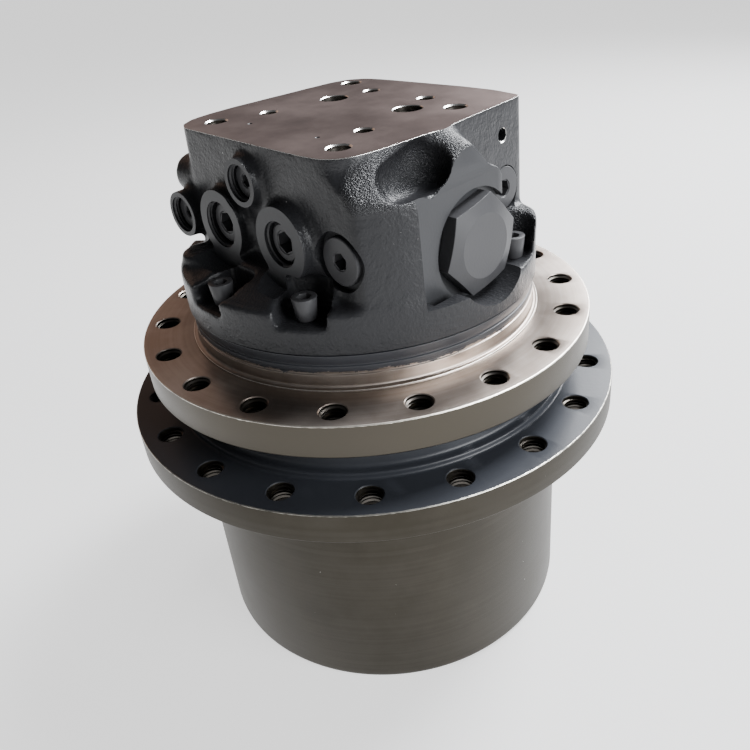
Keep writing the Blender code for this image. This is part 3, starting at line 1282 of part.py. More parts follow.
def spring(name, low, high):
    """Coil spring along X between two stations on the spool's line."""
    count = SPRING_TURNS * COIL_STEPS
    curve = bpy.data.curves.new(name, "CURVE")
    curve.dimensions = "3D"
    curve.bevel_depth = SPRING_WIRE / 2
    curve.bevel_resolution = 0
    curve.use_fill_caps = True
    line = curve.splines.new("POLY")
    line.points.add(count)
    start, end = low + SPRING_WIRE / 2 + GAP, high - SPRING_WIRE / 2 - GAP
    for index, point in enumerate(line.points):
        angle = 2 * pi * index / COIL_STEPS
        point.co = (
            start + (end - start) * index / count,
            SPRING_COIL_RADIUS * cos(angle),
            SPRING_COIL_RADIUS * sin(angle),
            1.0,
        )
    item = bpy.data.objects.new(name, curve)
    item.location = (0.0, SPOOL_Y, SPOOL_Z)
    curve.materials.append(finish(*SPRING_STEEL))
    bpy.context.scene.collection.objects.link(item)


def make_spool():
    """Counterbalance spool with grooves, a plug at each end and the springs that centre it."""
    spool_plug("spool_plug_right", PAD_FACE, 1.0)
    spool_plug("spool_plug_left", LEFT_PAD_FACE, -1.0)
    middle = (PAD_FACE + LEFT_PAD_FACE) / 2
    half = SPOOL_LENGTH / 2
    neck = SPOOL_RADIUS - SPOOL_GROOVE
    outline = []
    for centre, width in SPOOL_LANDS:
        start, end = centre - width / 2, centre + width / 2
        outline += [(neck, start), (SPOOL_RADIUS, start), (SPOOL_RADIUS, end), (neck, end)]
    outline[0] = (0.0, -half)
    outline[-1] = (0.0, half)
    spool = along_x(turned(outline, PLUG_STEPS), (0.0, 0.0, 0.0))
    node("counterbalance_spool", spool, GEAR_STEEL, (middle, SPOOL_Y, SPOOL_Z))
    clearance = SPOOL_STROKE + 2 * GAP
    spring("spool_spring_right", middle + half + clearance, PAD_FACE - SPRING_SEAT)
    spring("spool_spring_left", LEFT_PAD_FACE + SPRING_SEAT, middle - half - clearance)


def make_port_plugs():
    """Socket plugs in the front wall's five ports and the one in the right wall."""
    for number, (x, drop, _, length, radius, depth, flats) in enumerate(FRONT_PLUGS, 1):
        name = "port_plug_%d" % number
        high = length - depth
        body = rod(radius, -PLUG_LENGTH, 0.0, PLUG_STEPS)
        plug = node(name, body, PLUG_STEEL, (x, BODY_FRONT - high, BLOCK_TOP - drop))
        plug.rotation_euler = (pi / 2, 0.0, 0.0)
        cut(plug, prism(hexagon(flats), -PLUG_SOCKET_DEPTH, OVERCUT), name + "_socket")
    place = (BODY_RIGHT - SIDE_PLUG_RECESS, SIDE_PLUG_Y, BLOCK_TOP - SIDE_PLUG_DROP)
    body = rod(SIDE_PLUG_RADIUS, -PLUG_LENGTH + SIDE_PLUG_RECESS, 0.0, PLUG_STEPS)
    side = node("side_plug", body, PLUG_STEEL, place)
    side.rotation_euler = (0.0, pi / 2, 0.0)
    cut(side, prism(hexagon(SIDE_PLUG_FLATS), -PLUG_SOCKET_DEPTH, OVERCUT), "side_plug_socket")


def build():
    clear_scene()
    make_hub()
    make_ring_gear()
    make_end_cover()
    make_main_bearing("lower_bearing", LOWER_BEARING)
    make_main_bearing("upper_bearing", UPPER_BEARING)
    make_spindle()
    make_spindle_nut()
    make_face_seal()
    make_stage_1()
    make_stage_2()
    make_motor_shaft()
    make_swash_plate()
    make_rotating_group()
    make_valve_plate()
    make_brake()
    make_port_block()
    make_spool()
    make_port_plugs()


build()
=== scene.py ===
import json
from math import cos, pi, radians, sin, sqrt, tan

import bmesh
import bpy
from mathutils import Matrix, Vector


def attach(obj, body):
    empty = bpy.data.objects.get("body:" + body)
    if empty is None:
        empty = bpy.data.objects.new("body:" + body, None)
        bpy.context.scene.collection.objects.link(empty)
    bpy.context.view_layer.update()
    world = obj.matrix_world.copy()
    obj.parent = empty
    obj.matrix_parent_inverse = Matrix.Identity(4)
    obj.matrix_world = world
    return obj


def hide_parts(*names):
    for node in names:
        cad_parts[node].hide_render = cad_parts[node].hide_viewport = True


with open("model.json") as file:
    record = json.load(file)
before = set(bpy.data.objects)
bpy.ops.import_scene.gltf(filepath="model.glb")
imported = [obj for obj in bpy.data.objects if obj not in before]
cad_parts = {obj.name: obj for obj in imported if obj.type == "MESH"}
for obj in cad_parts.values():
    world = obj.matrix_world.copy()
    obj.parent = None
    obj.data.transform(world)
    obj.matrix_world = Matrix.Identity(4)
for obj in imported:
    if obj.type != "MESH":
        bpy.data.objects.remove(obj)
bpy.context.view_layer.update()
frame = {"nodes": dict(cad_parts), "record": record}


# Camera, floor and studio. The drive stands on a pale floor that glows a little and is seen from the
# upper front right. Broad soft lights stand behind it, above it and on its right, a dim warm one on its
# left.
camera = bpy.data.objects.new("camera", bpy.data.cameras.new("camera"))
camera.data.sensor_width = 36.0
camera.data.lens = 36.8
camera.data.clip_start = 0.01
camera.matrix_world = Matrix((
    (0.6854, -0.3185, 0.6549, 0.3198),
    (0.7219, 0.4154, -0.5535, -0.2683),
    (-0.0958, 0.8521, 0.5146, 0.3970),
    (0.0, 0.0, 0.0, 1.0),
))
bpy.context.scene.collection.objects.link(camera)
bpy.context.scene.camera = camera

floor_mesh = bpy.data.meshes.new("floor")
floor_reach, floor_level = 9.0, -0.0002
floor_mesh.from_pydata(
    [(x * floor_reach, y * floor_reach, floor_level) for x, y in ((-1, -1), (1, -1), (1, 1), (-1, 1))],
    [], [(0, 1, 2, 3)],
)
floor = bpy.data.objects.new("floor", floor_mesh)
bpy.context.scene.collection.objects.link(floor)
floor_finish = bpy.data.materials.new("pale_floor")
floor_finish.use_nodes = True
floor_shader = floor_finish.node_tree.nodes["Principled BSDF"]
floor_shader.inputs["Base Color"].default_value = (0.30, 0.30, 0.30, 1.0)
floor_shader.inputs["Roughness"].default_value = 0.9
floor_shader.inputs["Specular IOR Level"].default_value = 0.1
floor_shader.inputs["Emission Color"].default_value = (1.0, 1.0, 1.0, 1.0)
floor_shader.inputs["Emission Strength"].default_value = 1.25
floor_mesh.materials.append(floor_finish)


drive_middle = Vector((0.0, 0.0, 0.18))


def soft_light(name, place, width, height, power, tint):
    """Area light that looks at the drive's middle."""
    lamp = bpy.data.lights.new(name, "AREA")
    lamp.shape = "RECTANGLE"
    lamp.size = width
    lamp.size_y = height
    lamp.energy = power
    lamp.color = tint
    light = bpy.data.objects.new(name, lamp)
    toward = drive_middle - Vector(place)
    light.matrix_world = Matrix.Translation(place) @ toward.to_track_quat("-Z", "Y").to_matrix().to_4x4()
    bpy.context.scene.collection.objects.link(light)


soft_light("window_behind", (-0.1, 1.55, 1.10), 1.1, 0.8, 66.0, (0.95, 0.97, 1.0))
soft_light("soft_right", (1.5, 0.25, 0.70), 1.0, 1.0, 54.0, (0.96, 0.98, 1.0))
soft_light("warm_left", (-1.5, 0.1, 0.8), 1.1, 0.9, 1.4, (1.0, 0.62, 0.45))
soft_light("overhead", (0.25, 0.95, 1.50), 0.6, 0.6, 85.0, (0.95, 0.97, 1.0))

world = bpy.data.worlds.new("studio")
world.use_nodes = True
backdrop = world.node_tree.nodes["Background"]
backdrop.inputs["Color"].default_value = (0.82, 0.83, 0.85, 1.0)
backdrop.inputs["Strength"].default_value = 0.10
bpy.context.scene.world = world


# Hub: one iron casting, turned all over, with the drum, the sprocket flange and the seal collar.
# The flange's upper face and the collar are sprayed black. Its rim and the drum stay bare and have
# oxidised to an olive brown. The track sprocket is screwed to the flange from below.
corner_steps = 4
sharp_corner = radians(31.0)


def metres(points):
    """The same (radius, height) points in metres, from mm."""
    return [(radius / 1000.0, height / 1000.0) for radius, height in points]


def polar(radius, degrees):
    """Place at this radius and angle about Z."""
    return radius * cos(radians(degrees)), radius * sin(radians(degrees))


def eased(outline):
    """Outline of (radius, height, corner) points in mm with each corner rounded, in metres."""
    points = []
    count = len(outline)
    for index, (radius, height, corner) in enumerate(outline):
        here = Vector((radius, height))
        if corner <= 0.0:
            points.append(here / 1000.0)
            continue
        before = (Vector(outline[index - 1][:2]) - here).normalized()
        after = (Vector(outline[(index + 1) % count][:2]) - here).normalized()
        turn = before.angle(after)
        reach = corner / tan(turn / 2)
        start, end = here + before * reach, here + after * reach
        for step in range(corner_steps + 1):
            share = step / corner_steps
            first = start.lerp(here, share)
            second = here.lerp(end, share)
            points.append(first.lerp(second, share) / 1000.0)
    return points


def turned_shell(points, steps):
    """Closed ring turned about Z from an outline that stays off the axis."""
    shell = bmesh.new()
    rings = []
    for step in range(steps):
        angle = 2 * pi * step / steps
        rings.append([shell.verts.new((r * cos(angle), r * sin(angle), z)) for r, z in points])
    count = len(points)
    for step in range(steps):
        ring, other = rings[step], rings[(step + 1) % steps]
        for index in range(count):
            after = (index + 1) % count
            shell.faces.new((ring[index], other[index], other[after], ring[after]))
    bmesh.ops.recalc_face_normals(shell, faces=shell.faces[:])
    return shell


def turned_solid(points, steps):
    """Solid turned about Z from (radius, height) points whose first and last lie on the axis."""
    solid = bmesh.new()
    low = solid.verts.new((0.0, 0.0, points[0][1]))
    high = solid.verts.new((0.0, 0.0, points[-1][1]))
    rings = []
    for step in range(steps):
        angle = 2 * pi * step / steps
        rings.append([solid.verts.new((r * cos(angle), r * sin(angle), z)) for r, z in points[1:-1]])
    for step in range(steps):
        ring, other = rings[step], rings[(step + 1) % steps]
        solid.faces.new((low, other[0], ring[0]))
        solid.faces.new((high, ring[-1], other[-1]))
        for index in range(len(ring) - 1):
            solid.faces.new((ring[index], other[index], other[index + 1], ring[index + 1]))
    bmesh.ops.recalc_face_normals(solid, faces=solid.faces[:])
    return solid


def joined(solids):
    """One mesh of many separate solids."""
    whole = bmesh.new()
    for solid in solids:
        part = bpy.data.meshes.new("part")
        solid.to_mesh(part)
        solid.free()
        whole.from_mesh(part)
        bpy.data.meshes.remove(part)
    return whole


def piece(name, solid):
    """Object with this mesh at the origin, smooth except at its sharp edges."""
    mesh = bpy.data.meshes.new(name)
    solid.to_mesh(mesh)
    solid.free()
    made = bpy.data.objects.new(name, mesh)
    bpy.context.scene.collection.objects.link(made)
    mesh.shade_smooth()
    mesh.set_sharp_from_angle(angle=sharp_corner)
    return made


def settled(made):
    """Turns a piece's live modifiers into its plain mesh."""
    graph = bpy.context.evaluated_depsgraph_get()
    mesh = bpy.data.meshes.new_from_object(
        made.evaluated_get(graph), preserve_all_data_layers=True, depsgraph=graph
    )
    made.modifiers.clear()
    old = made.data
    made.data = mesh
    bpy.data.meshes.remove(old)
    mesh.name = made.name
    mesh.shade_smooth()
    mesh.set_sharp_from_angle(angle=sharp_corner)
    return made


def machined(made, cutter, operation="DIFFERENCE"):
    """Cuts a solid out of a piece, or joins it on, and settles the result."""
    tool = piece("cutter", cutter)
    boolean = made.modifiers.new("machined", "BOOLEAN")
    boolean.operation = operation
    boolean.solver = "MANIFOLD"
    boolean.object = tool
    settled(made)
    bpy.data.objects.remove(tool, do_unlink=True)
    return made


def coat(made, *finishes):
    """Gives a piece only these finishes, the first one on every face."""
    made.data.materials.clear()
    for finish in finishes:
        made.data.materials.append(finish)
    made.data.polygons.foreach_set("material_index", [0] * len(made.data.polygons))


def ring_places(count, radius, first):
    """Places in mm round a bolt circle."""
    return [polar(radius, first + 360.0 * index / count) for index in range(count)]


def tapped_hole(radius, top, bottom, chamfer):
    """Cutter in mm for a threaded hole with its mouth chamfered. It stands out of the hole a little."""
    over = 0.4
    mouth = radius + chamfer + over
    points = [
        (0.0, bottom), (radius, bottom), (radius, top - chamfer),
        (mouth, top + over), (mouth, top + 2.0), (0.0, top + 2.0),
    ]
    return turned_solid(metres(points), 40)


def at(solid, x, y, z=0.0):
    """Moves a solid by this many mm."""
    bmesh.ops.translate(solid, verts=solid.verts[:], vec=(x / 1000.0, y / 1000.0, z / 1000.0))
    return solid


hub_outline = eased([
    (99.25, 0.0, 0.8), (112.95, 0.0, 4.0), (112.95, 141.1, 1.0), (144.95, 141.1, 0.7),
    (144.95, 158.0, 0.8), (118.2, 158.0, 1.6), (118.0, 161.4, 1.4), (113.2, 161.8, 2.4),
    (111.6, 178.5, 0.8), (100.9, 178.5, 0.5), (100.9, 149.2, 0.0), (95.4, 149.2, 0.0),
    (95.4, 126.6, 0.0), (88.3, 126.6, 0.0), (88.3, 117.1, 0.0), (95.4, 117.1, 0.0),
    (95.4, 88.3, 0.0), (99.25, 88.3, 0.0), (99.25, 5.3, 0.0), (101.75, 5.3, 0.0),
    (101.75, 2.2, 0.0), (99.25, 2.2, 0.0),
])
turned_steps = 288
flange_bore = 6.9
sprocket_holes = ring_places(18, 130.15, 16.5)
hub = piece("drum_and_flange", turned_shell(hub_outline, turned_steps))
machined(hub, joined([at(tapped_hole(flange_bore, 158.0, 138.0, 0.5), x, y) for x, y in sprocket_holes]))


def add(tree, kind, *links, **settings):
    """Adds a shader node and fills its first inputs in order, by value or from another node's output."""
    made = tree.nodes.new(kind)
    for key, setting in settings.items():
        setattr(made, key, setting)
    for socket, link in zip(made.inputs, links):
        if isinstance(link, bpy.types.NodeSocket):
            tree.links.new(link, socket)
        elif link is not None:
            socket.default_value = link
    return made


def maths(tree, operation, *links):
    """Result of one sum on numbers or node outputs."""
    return add(tree, "ShaderNodeMath", *links, operation=operation).outputs[0]


def sums(tree, first, second):
    """Sum of two numbers."""
    return maths(tree, "ADD", first, second)


def times(tree, first, second):
    """Product of two numbers."""
    return maths(tree, "MULTIPLY", first, second)


def length_of(tree, first, second):
    """Length of a line from how far it runs in two directions."""
    return maths(tree, "SQRT", sums(tree, times(tree, first, first), times(tree, second, second)))


def between(tree, source, low, high):
    """0 below low, 1 above high, and a soft step from one to the other."""
    made = add(tree, "ShaderNodeMapRange", source, low, high, 0.0, 1.0, interpolation_type="SMOOTHSTEP")
    return made.outputs[0]


def mixed(tree, share, first, second, kind="FLOAT"):
    """Number that goes from the first to the second as the share goes from 0 to 1."""
    made = tree.nodes.new("ShaderNodeMix")
    made.data_type = kind
    start, end, result = (2, 3, 0) if kind == "FLOAT" else (6, 7, 2)
    for index, link in ((0, share), (start, first), (end, second)):
        if isinstance(link, bpy.types.NodeSocket):
            tree.links.new(link, made.inputs[index])
        else:
            made.inputs[index].default_value = link if isinstance(link, float) else (*link, 1.0)
    return made.outputs[result]


def blended(tree, share, first, second):
    """Colour that goes from the first to the second as the share goes from 0 to 1."""
    return mixed(tree, share, first, second, "RGBA")


def mottle(tree, place, scale, detail=3.0, roughness=0.55):
    """Even-grained noise from 0 to 1 over a piece."""
    made = add(tree, "ShaderNodeTexNoise", None, None, scale, detail, roughness)
    tree.links.new(place, made.inputs["Vector"])
    return made.outputs["Fac"]


def lines_along(tree, distance, per_metre, detail=4.0):
    """Noise that varies with one distance only, as tool marks do."""
    made = add(tree, "ShaderNodeTexNoise", noise_dimensions="1D")
    made.inputs["Scale"].default_value = per_metre
    made.inputs["Detail"].default_value = detail
    made.inputs["Roughness"].default_value = 0.7
    tree.links.new(distance, made.inputs["W"])
    return made.outputs["Fac"]


def bare_metal(name, light, dark, rough, marks, anisotropy=0.0):
    """Bare turned metal: stained in soft patches, with tool marks round the Z axis."""
    finish = bpy.data.materials.new(name)
    finish.use_nodes = True
    tree = finish.node_tree
    shader = tree.nodes["Principled BSDF"]
    shader.inputs["Anisotropic"].default_value = anisotropy
    place = add(tree, "ShaderNodeTexCoord").outputs["Object"]
    split = add(tree, "ShaderNodeSeparateXYZ", place)
    x, y, height = split.outputs
    radius = length_of(tree, x, y)
    travel = sums(tree, radius, height)
    fine = lines_along(tree, travel, marks)
    coarse = lines_along(tree, travel, marks * 0.13, 2.0)
    patches = mottle(tree, place, 24.0, 5.0, 0.6)
    grains = mottle(tree, place, 900.0, 2.0)
    share = sums(tree, times(tree, patches, 0.75), times(tree, coarse, 0.25))
    colour = blended(tree, between(tree, share, 0.35, 0.65), dark, light)
    colour = blended(tree, times(tree, between(tree, grains, 0.55, 0.75), 0.22), colour, dark)
    roughness = mixed(tree, patches, rough - 0.06, rough + 0.08)
    relief = sums(tree, fine, times(tree, grains, 0.25))
    if anisotropy > 0.0:
        around = add(tree, "ShaderNodeTangent", direction_type="RADIAL", axis="Z")
        tree.links.new(around.outputs[0], shader.inputs["Tangent"])
    return {
        "finish": finish, "tree": tree, "shader": shader, "place": place, "radius": radius, "height": height,
        "colour": colour, "roughness": roughness, "metal": 1.0, "relief": relief, "depth": 0.00002,
    }


def worn_and_highlit_edge(parts, radius, height, width, colour):
    """Pale line along a turned corner, broken up by chips: worn paint on a painted corner, a painted highlight on a
    bare one.
    """
    tree = parts["tree"]
    across = maths(tree, "SUBTRACT", parts["radius"], radius)
    up = maths(tree, "SUBTRACT", parts["height"], height)
    away = length_of(tree, across, up)
    ragged = times(tree, mottle(tree, parts["place"], 260.0, 4.0, 0.7), width * 1.6)
    share = between(tree, maths(tree, "SUBTRACT", ragged, away), -width * 0.15, width * 0.25)
    parts["colour"] = blended(tree, share, parts["colour"], colour)
    parts["roughness"] = mixed(tree, share, parts["roughness"], 0.3)
    if not isinstance(parts["metal"], float):
        parts["metal"] = mixed(tree, share, parts["metal"], 1.0)


def sprayed(parts, share, colour, roughness):
    """Black paint over the metal where the share is 1."""
    tree = parts["tree"]
    peel = mottle(tree, parts["place"], 520.0, 2.0)
    cloud = mottle(tree, parts["place"], 30.0, 4.0)
    tint = blended(tree, cloud, tuple(c * 0.8 for c in colour), tuple(c * 1.25 for c in colour))
    parts["colour"] = blended(tree, share, parts["colour"], tint)
    sheen = mixed(tree, cloud, roughness - 0.05, roughness + 0.07)
    parts["roughness"] = mixed(tree, share, parts["roughness"], sheen)
    parts["metal"] = mixed(tree, share, parts["metal"], 0.0)
    parts["relief"] = mixed(tree, share, parts["relief"], times(tree, peel, 1.6))


def dusted(parts, amount):
    """Small pale specks of dust and chipped paint."""
    tree = parts["tree"]
    cells = add(tree, "ShaderNodeTexVoronoi", None, None, 190.0)
    tree.links.new(parts["place"], cells.inputs["Vector"])
    wide = mottle(tree, parts["place"], 40.0, 2.0)
    size = times(tree, between(tree, wide, 0.52, 0.8), amount)
    near = maths(tree, "LESS_THAN", cells.outputs["Distance"], size)
    parts["colour"] = blended(tree, near, parts["colour"], (0.55, 0.54, 0.52))


def finished(parts):
    """Joins a finish's colour, roughness, metal and relief to its shader."""
    tree, shader = parts["tree"], parts["shader"]
    tree.links.new(parts["colour"], shader.inputs["Base Color"])
    tree.links.new(parts["roughness"], shader.inputs["Roughness"])
    if isinstance(parts["metal"], float):
        shader.inputs["Metallic"].default_value = parts["metal"]
    else:
        tree.links.new(parts["metal"], shader.inputs["Metallic"])
    bump = add(tree, "ShaderNodeBump")
    bump.inputs["Strength"].default_value = 1.0
    bump.inputs["Distance"].default_value = parts["depth"]
    tree.links.new(parts["relief"], bump.inputs["Height"])
    tree.links.new(bump.outputs["Normal"], shader.inputs["Normal"])
    return parts["finish"]


hub_parts = bare_metal("turned_hub_iron", (0.047, 0.042, 0.034), (0.035, 0.031, 0.024), 0.44, 2600.0, 0.35)
hub_tree = hub_parts["tree"]
on_top = between(hub_tree, hub_parts["height"], 0.15745, 0.15775)
within = between(hub_tree, hub_parts["radius"], 0.1458, 0.1447)
sprayed(hub_parts, times(hub_tree, on_top, within), (0.022, 0.024, 0.029), 0.36)
worn_and_highlit_edge(hub_parts, 0.1447, 0.15775, 0.00042, (0.52, 0.50, 0.45))
dusted(hub_parts, 0.07)
hub_parts["shader"].inputs["Specular IOR Level"].default_value = 0.30
coat(hub, finished(hub_parts))
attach(hub, "hub_side")
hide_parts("hub")


# Threads of the flange holes: M14 coarse, 18 in each flange, cut right through. Each is a helix with
# a triangular section that stands in from the bore, laid on its hole's place by one node tree.
def started_tree(name, size_names):
    """Empty node tree and its inputs: places, sizes and a finish."""
    tree = bpy.data.node_groups.new(name, "GeometryNodeTree")
    tree.interface.new_socket("Geometry", in_out="OUTPUT", socket_type="NodeSocketGeometry")
    tree.interface.new_socket("Places", in_out="INPUT", socket_type="NodeSocketGeometry")
    for size in size_names:
        tree.interface.new_socket(size, in_out="INPUT", socket_type="NodeSocketFloat")
    tree.interface.new_socket("Finish", in_out="INPUT", socket_type="NodeSocketMaterial")
    return tree, tree.nodes.new("NodeGroupInput").outputs


def ended_tree(tree, sizes, shape):
    """Lays the shape on every place, makes it real and gives it its finish."""
    link = tree.links.new
    spread = tree.nodes.new("GeometryNodeInstanceOnPoints")
    link(sizes["Places"], spread.inputs["Points"])
    link(shape.outputs["Mesh"], spread.inputs["Instance"])
    real = tree.nodes.new("GeometryNodeRealizeInstances")
    link(spread.outputs["Instances"], real.inputs["Geometry"])
    coated = tree.nodes.new("GeometryNodeSetMaterial")
    link(real.outputs["Geometry"], coated.inputs["Geometry"])
    link(sizes["Finish"], coated.inputs["Material"])
    end = tree.nodes.new("NodeGroupOutput")
    link(coated.outputs["Geometry"], end.inputs["Geometry"])
    return tree


def thread_tree():
    """Node tree that lays a cut thread on every point of a mesh."""
    tree, sizes = started_tree("threads_on_points", ("Thread Radius", "Thread Depth", "Pitch", "Turns"))
    link = tree.links.new
    helix = tree.nodes.new("GeometryNodeCurveSpiral")
    helix.inputs["Resolution"].default_value = 20
    link(sizes["Turns"], helix.inputs["Rotations"])
    link(sizes["Thread Radius"], helix.inputs["Start Radius"])
    link(sizes["Thread Radius"], helix.inputs["End Radius"])
    rise = tree.nodes.new("ShaderNodeMath")
    rise.operation = "MULTIPLY"
    link(sizes["Pitch"], rise.inputs[0])
    link(sizes["Turns"], rise.inputs[1])
    link(rise.outputs[0], helix.inputs["Height"])
    section = tree.nodes.new("GeometryNodeCurvePrimitiveCircle")
    section.inputs["Resolution"].default_value = 3
    link(sizes["Thread Depth"], section.inputs["Radius"])
    sweep = tree.nodes.new("GeometryNodeCurveToMesh")
    link(helix.outputs["Curve"], sweep.inputs["Curve"])
    link(section.outputs["Curve"], sweep.inputs["Profile Curve"])
    sweep.inputs["Fill Caps"].default_value = True
    return ended_tree(tree, sizes, sweep)


def laid_out(name, tree, places, sizes):
    """Plain mesh that a node tree makes on these places in mm."""
    mesh = bpy.data.meshes.new(name)
    mesh.from_pydata([[value / 1000.0 for value in place] for place in places], [], [])
    made = bpy.data.objects.new(name, mesh)
    bpy.context.scene.collection.objects.link(made)
    modifier = made.modifiers.new("made", "NODES")
    modifier.node_group = tree
    for item in tree.interface.items_tree:
        if item.in_out == "INPUT" and item.name in sizes:
            modifier[item.identifier] = sizes[item.name]
    return settled(made)


threads_on = thread_tree()
# The cut threads are coloured dark: painted shade, as deep inside their holes.
thread_in_painted_shade = finished(bare_metal("thread_steel_painted_shade", (0.115, 0.105, 0.095), (0.050, 0.045, 0.038), 0.38, 900.0))
flange_thread = {
    "Thread Radius": 0.00685, "Thread Depth": 0.00085, "Pitch": 0.002, "Turns": 7.4, "Finish": thread_in_painted_shade,
}
sprocket_threads = laid_out(
    "sprocket_flange_threads", threads_on, [(x, y, 142.1) for x, y in sprocket_holes], flange_thread
)
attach(sprocket_threads, "hub_side")


# Spindle: turned steel that stays still, with the frame flange, its raised pilot edge and the neck up
# to the port block. Flange and pilot are bare. The neck caught the black spray meant for the casting,
# which ends in a ragged line. The pale ragged lines along the corners of the flange's rim and of the
# pilot are painted highlights, broken up by chip-like gaps.
spindle_outline = eased([
    (62.0, 218.9, 0.0), (62.0, 175.0, 0.0), (55.5, 175.0, 0.0), (55.5, 150.0, 0.0),
    (74.0, 150.0, 0.0), (83.0, 150.0, 0.0), (83.0, 180.7, 0.0), (130.6, 180.7, 0.9),
    (130.6, 199.0, 0.7), (101.6, 199.0, 0.0), (101.4, 199.9, 0.25), (98.8, 199.9, 1.6),
    (98.8, 206.9, 0.3), (98.1, 207.3, 0.2), (98.1, 208.6, 0.2), (98.8, 209.1, 0.3),
    (98.8, 211.6, 0.3), (98.0, 212.1, 0.2), (98.0, 213.0, 0.2), (98.9, 213.5, 0.3),
    (99.5, 218.0, 0.3), (95.5, 218.0, 0.0), (95.5, 218.9, 0.0),
])
frame_holes = ring_places(18, 118.0, 10.0)
spindle = piece("frame_flange_and_neck", turned_shell(spindle_outline, turned_steps))
machined(spindle, joined([at(tapped_hole(flange_bore, 199.0, 170.0, 0.5), x, y) for x, y in frame_holes]))
spindle_parts = bare_metal("turned_flange_steel", (0.43, 0.375, 0.335), (0.30, 0.250, 0.215), 0.34, 2100.0, 0.55)
spindle_tree = spindle_parts["tree"]
below_top = between(spindle_tree, spindle_parts["height"], 0.1987, 0.1983)
spindle_parts["colour"] = blended(spindle_tree, below_top, spindle_parts["colour"], (0.064, 0.057, 0.046))
ragged = mottle(spindle_tree, spindle_parts["place"], 55.0, 6.0, 0.75)
spray_line = sums(spindle_tree, spindle_parts["height"], times(spindle_tree, ragged, 0.011))
sprayed(spindle_parts, between(spindle_tree, spray_line, 0.2131, 0.2137), (0.020, 0.021, 0.025), 0.38)
# Painted highlights: pale ragged lines along the rim's corner and along the pilot's corner.
worn_and_highlit_edge(spindle_parts, 0.1303, 0.1987, 0.00050, (0.78, 0.74, 0.66))
worn_and_highlit_edge(spindle_parts, 0.1014, 0.19985, 0.00030, (0.85, 0.82, 0.76))
coat(spindle, finished(spindle_parts))
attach(spindle, "frame_side")
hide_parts("frame_spindle")
frame_places = [(x, y, 181.7) for x, y in frame_holes]
frame_threads = laid_out("frame_flange_threads", threads_on, frame_places, {**flange_thread, "Turns": 8.0})
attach(frame_threads, "frame_side")


# Port block: an iron sand casting over the motor, sprayed semi-gloss black. Its corners are the soft
# ones of a mould. The port face, the spool pads, the boss faces and the bores are machined after
# casting, so they have crisp edges, and the port face is milled last and left bare.
def rod(radius, low, high, steps=48):
    """Upright cylinder in mm."""
    return turned_solid(metres([(0.0, low), (radius, low), (radius, high), (0.0, high)]), steps)


def upright(outline, low, high):
    """Upright solid in mm with this (x, y) outline, counterclockwise."""
    solid = bmesh.new()
    bottom = [solid.verts.new((x / 1000.0, y / 1000.0, low / 1000.0)) for x, y in outline]
    top = [solid.verts.new((x / 1000.0, y / 1000.0, high / 1000.0)) for x, y in outline]
    solid.faces.new(bottom[::-1])
    solid.faces.new(top)
    for index in range(len(bottom)):
        after = (index + 1) % len(bottom)
        solid.faces.new((bottom[index], bottom[after], top[after], top[index]))
    bmesh.ops.recalc_face_normals(solid, faces=solid.faces[:])
    return solid


def wrapped(points):
    """Convex solid round these points in mm."""
    solid = bmesh.new()
    for point in points:
        solid.verts.new([value / 1000.0 for value in point])
    made = bmesh.ops.convex_hull(solid, input=solid.verts[:])
    inside = {item for key in ("geom_interior", "geom_unused") for item in made[key]}
    spare = [item for item in inside if isinstance(item, bmesh.types.BMVert)]
    bmesh.ops.delete(solid, geom=spare, context="VERTS")
    bmesh.ops.recalc_face_normals(solid, faces=solid.faces[:])
    return solid


towards_front = Matrix.Rotation(pi / 2, 4, "X")
towards_right = Matrix.Rotation(pi / 2, 4, "Y")


def facing_right(solid, x, y, z):
    """Lays an upright solid along +X with its origin at this place in mm."""
    turn = Matrix.Translation((x / 1000.0, y / 1000.0, z / 1000.0)) @ towards_right
    bmesh.ops.transform(solid, matrix=turn, verts=solid.verts[:])
    return solid


def facing_front(solid, x, y, z):
    """Lays an upright solid along -Y with its origin at this place in mm."""
    turn = Matrix.Translation((x / 1000.0, y / 1000.0, z / 1000.0)) @ towards_front
    bmesh.ops.transform(solid, matrix=turn, verts=solid.verts[:])
    return solid


def round_corners(left, right, front, back, corner):
    """Rectangle in mm with round corners, counterclockwise."""
    outline = []
    steps = 8
    for x, y, start in (
        (right - corner, front + corner, -90.0), (right - corner, back - corner, 0.0),
        (left + corner, back - corner, 90.0), (left + corner, front + corner, 180.0),
    ):
        for step in range(steps + 1):
            turn = radians(start + 90.0 * step / steps)
            outline.append((x + corner * cos(turn), y + corner * sin(turn)))
    return outline


block_top = 309.0
block_foot = 219.15
form_foot = 226.0
rim_top = 240.5
rim_radius = 100.0
front_wall = -63.0
pad_face = 85.0
left_pad_face = -83.0
valve_axis = (0.0, 5.0, 252.5)
face_outline = [
    (-66.0, -57.5), (-58.0, -61.8), (-24.0, -62.7), (0.0, -63.9), (22.0, -65.3), (47.0, -66.3), (56.5, -66.0),
    (62.5, -64.0), (67.0, -60.3), (70.0, -55.5), (71.2, -50.0), (72.4, -40.0), (73.0, -28.0), (73.4, -4.0),
    (70.6, 17.5), (68.8, 29.0), (67.4, 47.5), (66.2, 58.0), (65.2, 65.6), (63.6, 67.0), (54.0, 67.0), (44.0, 71.5),
    (20.0, 73.0), (-5.0, 72.5),
    (-45.0, 71.4), (-57.0, 69.5), (-65.5, 63.5), (-70.0, 53.0), (-71.5, 36.0), (-72.6, 17.0), (-74.0, -3.0),
    (-75.0, -19.0), (-74.6, -35.0), (-72.3, -48.0),
]
pad_shape = [
    (-34.0, 226.0), (-34.0, 282.0), (-26.0, 283.0), (-21.5, 286.0), (-18.0, 290.0), (-15.0, 293.6), (-11.3, 296.8),
    (-6.0, 299.7), (-1.0, 301.9), (3.5, 301.9), (7.5, 299.3), (11.0, 295.8), (13.5, 292.6), (16.5, 289.6),
    (20.5, 287.6), (24.0, 286.0), (26.0, 283.0), (26.5, 278.5), (26.5, 226.0),
]
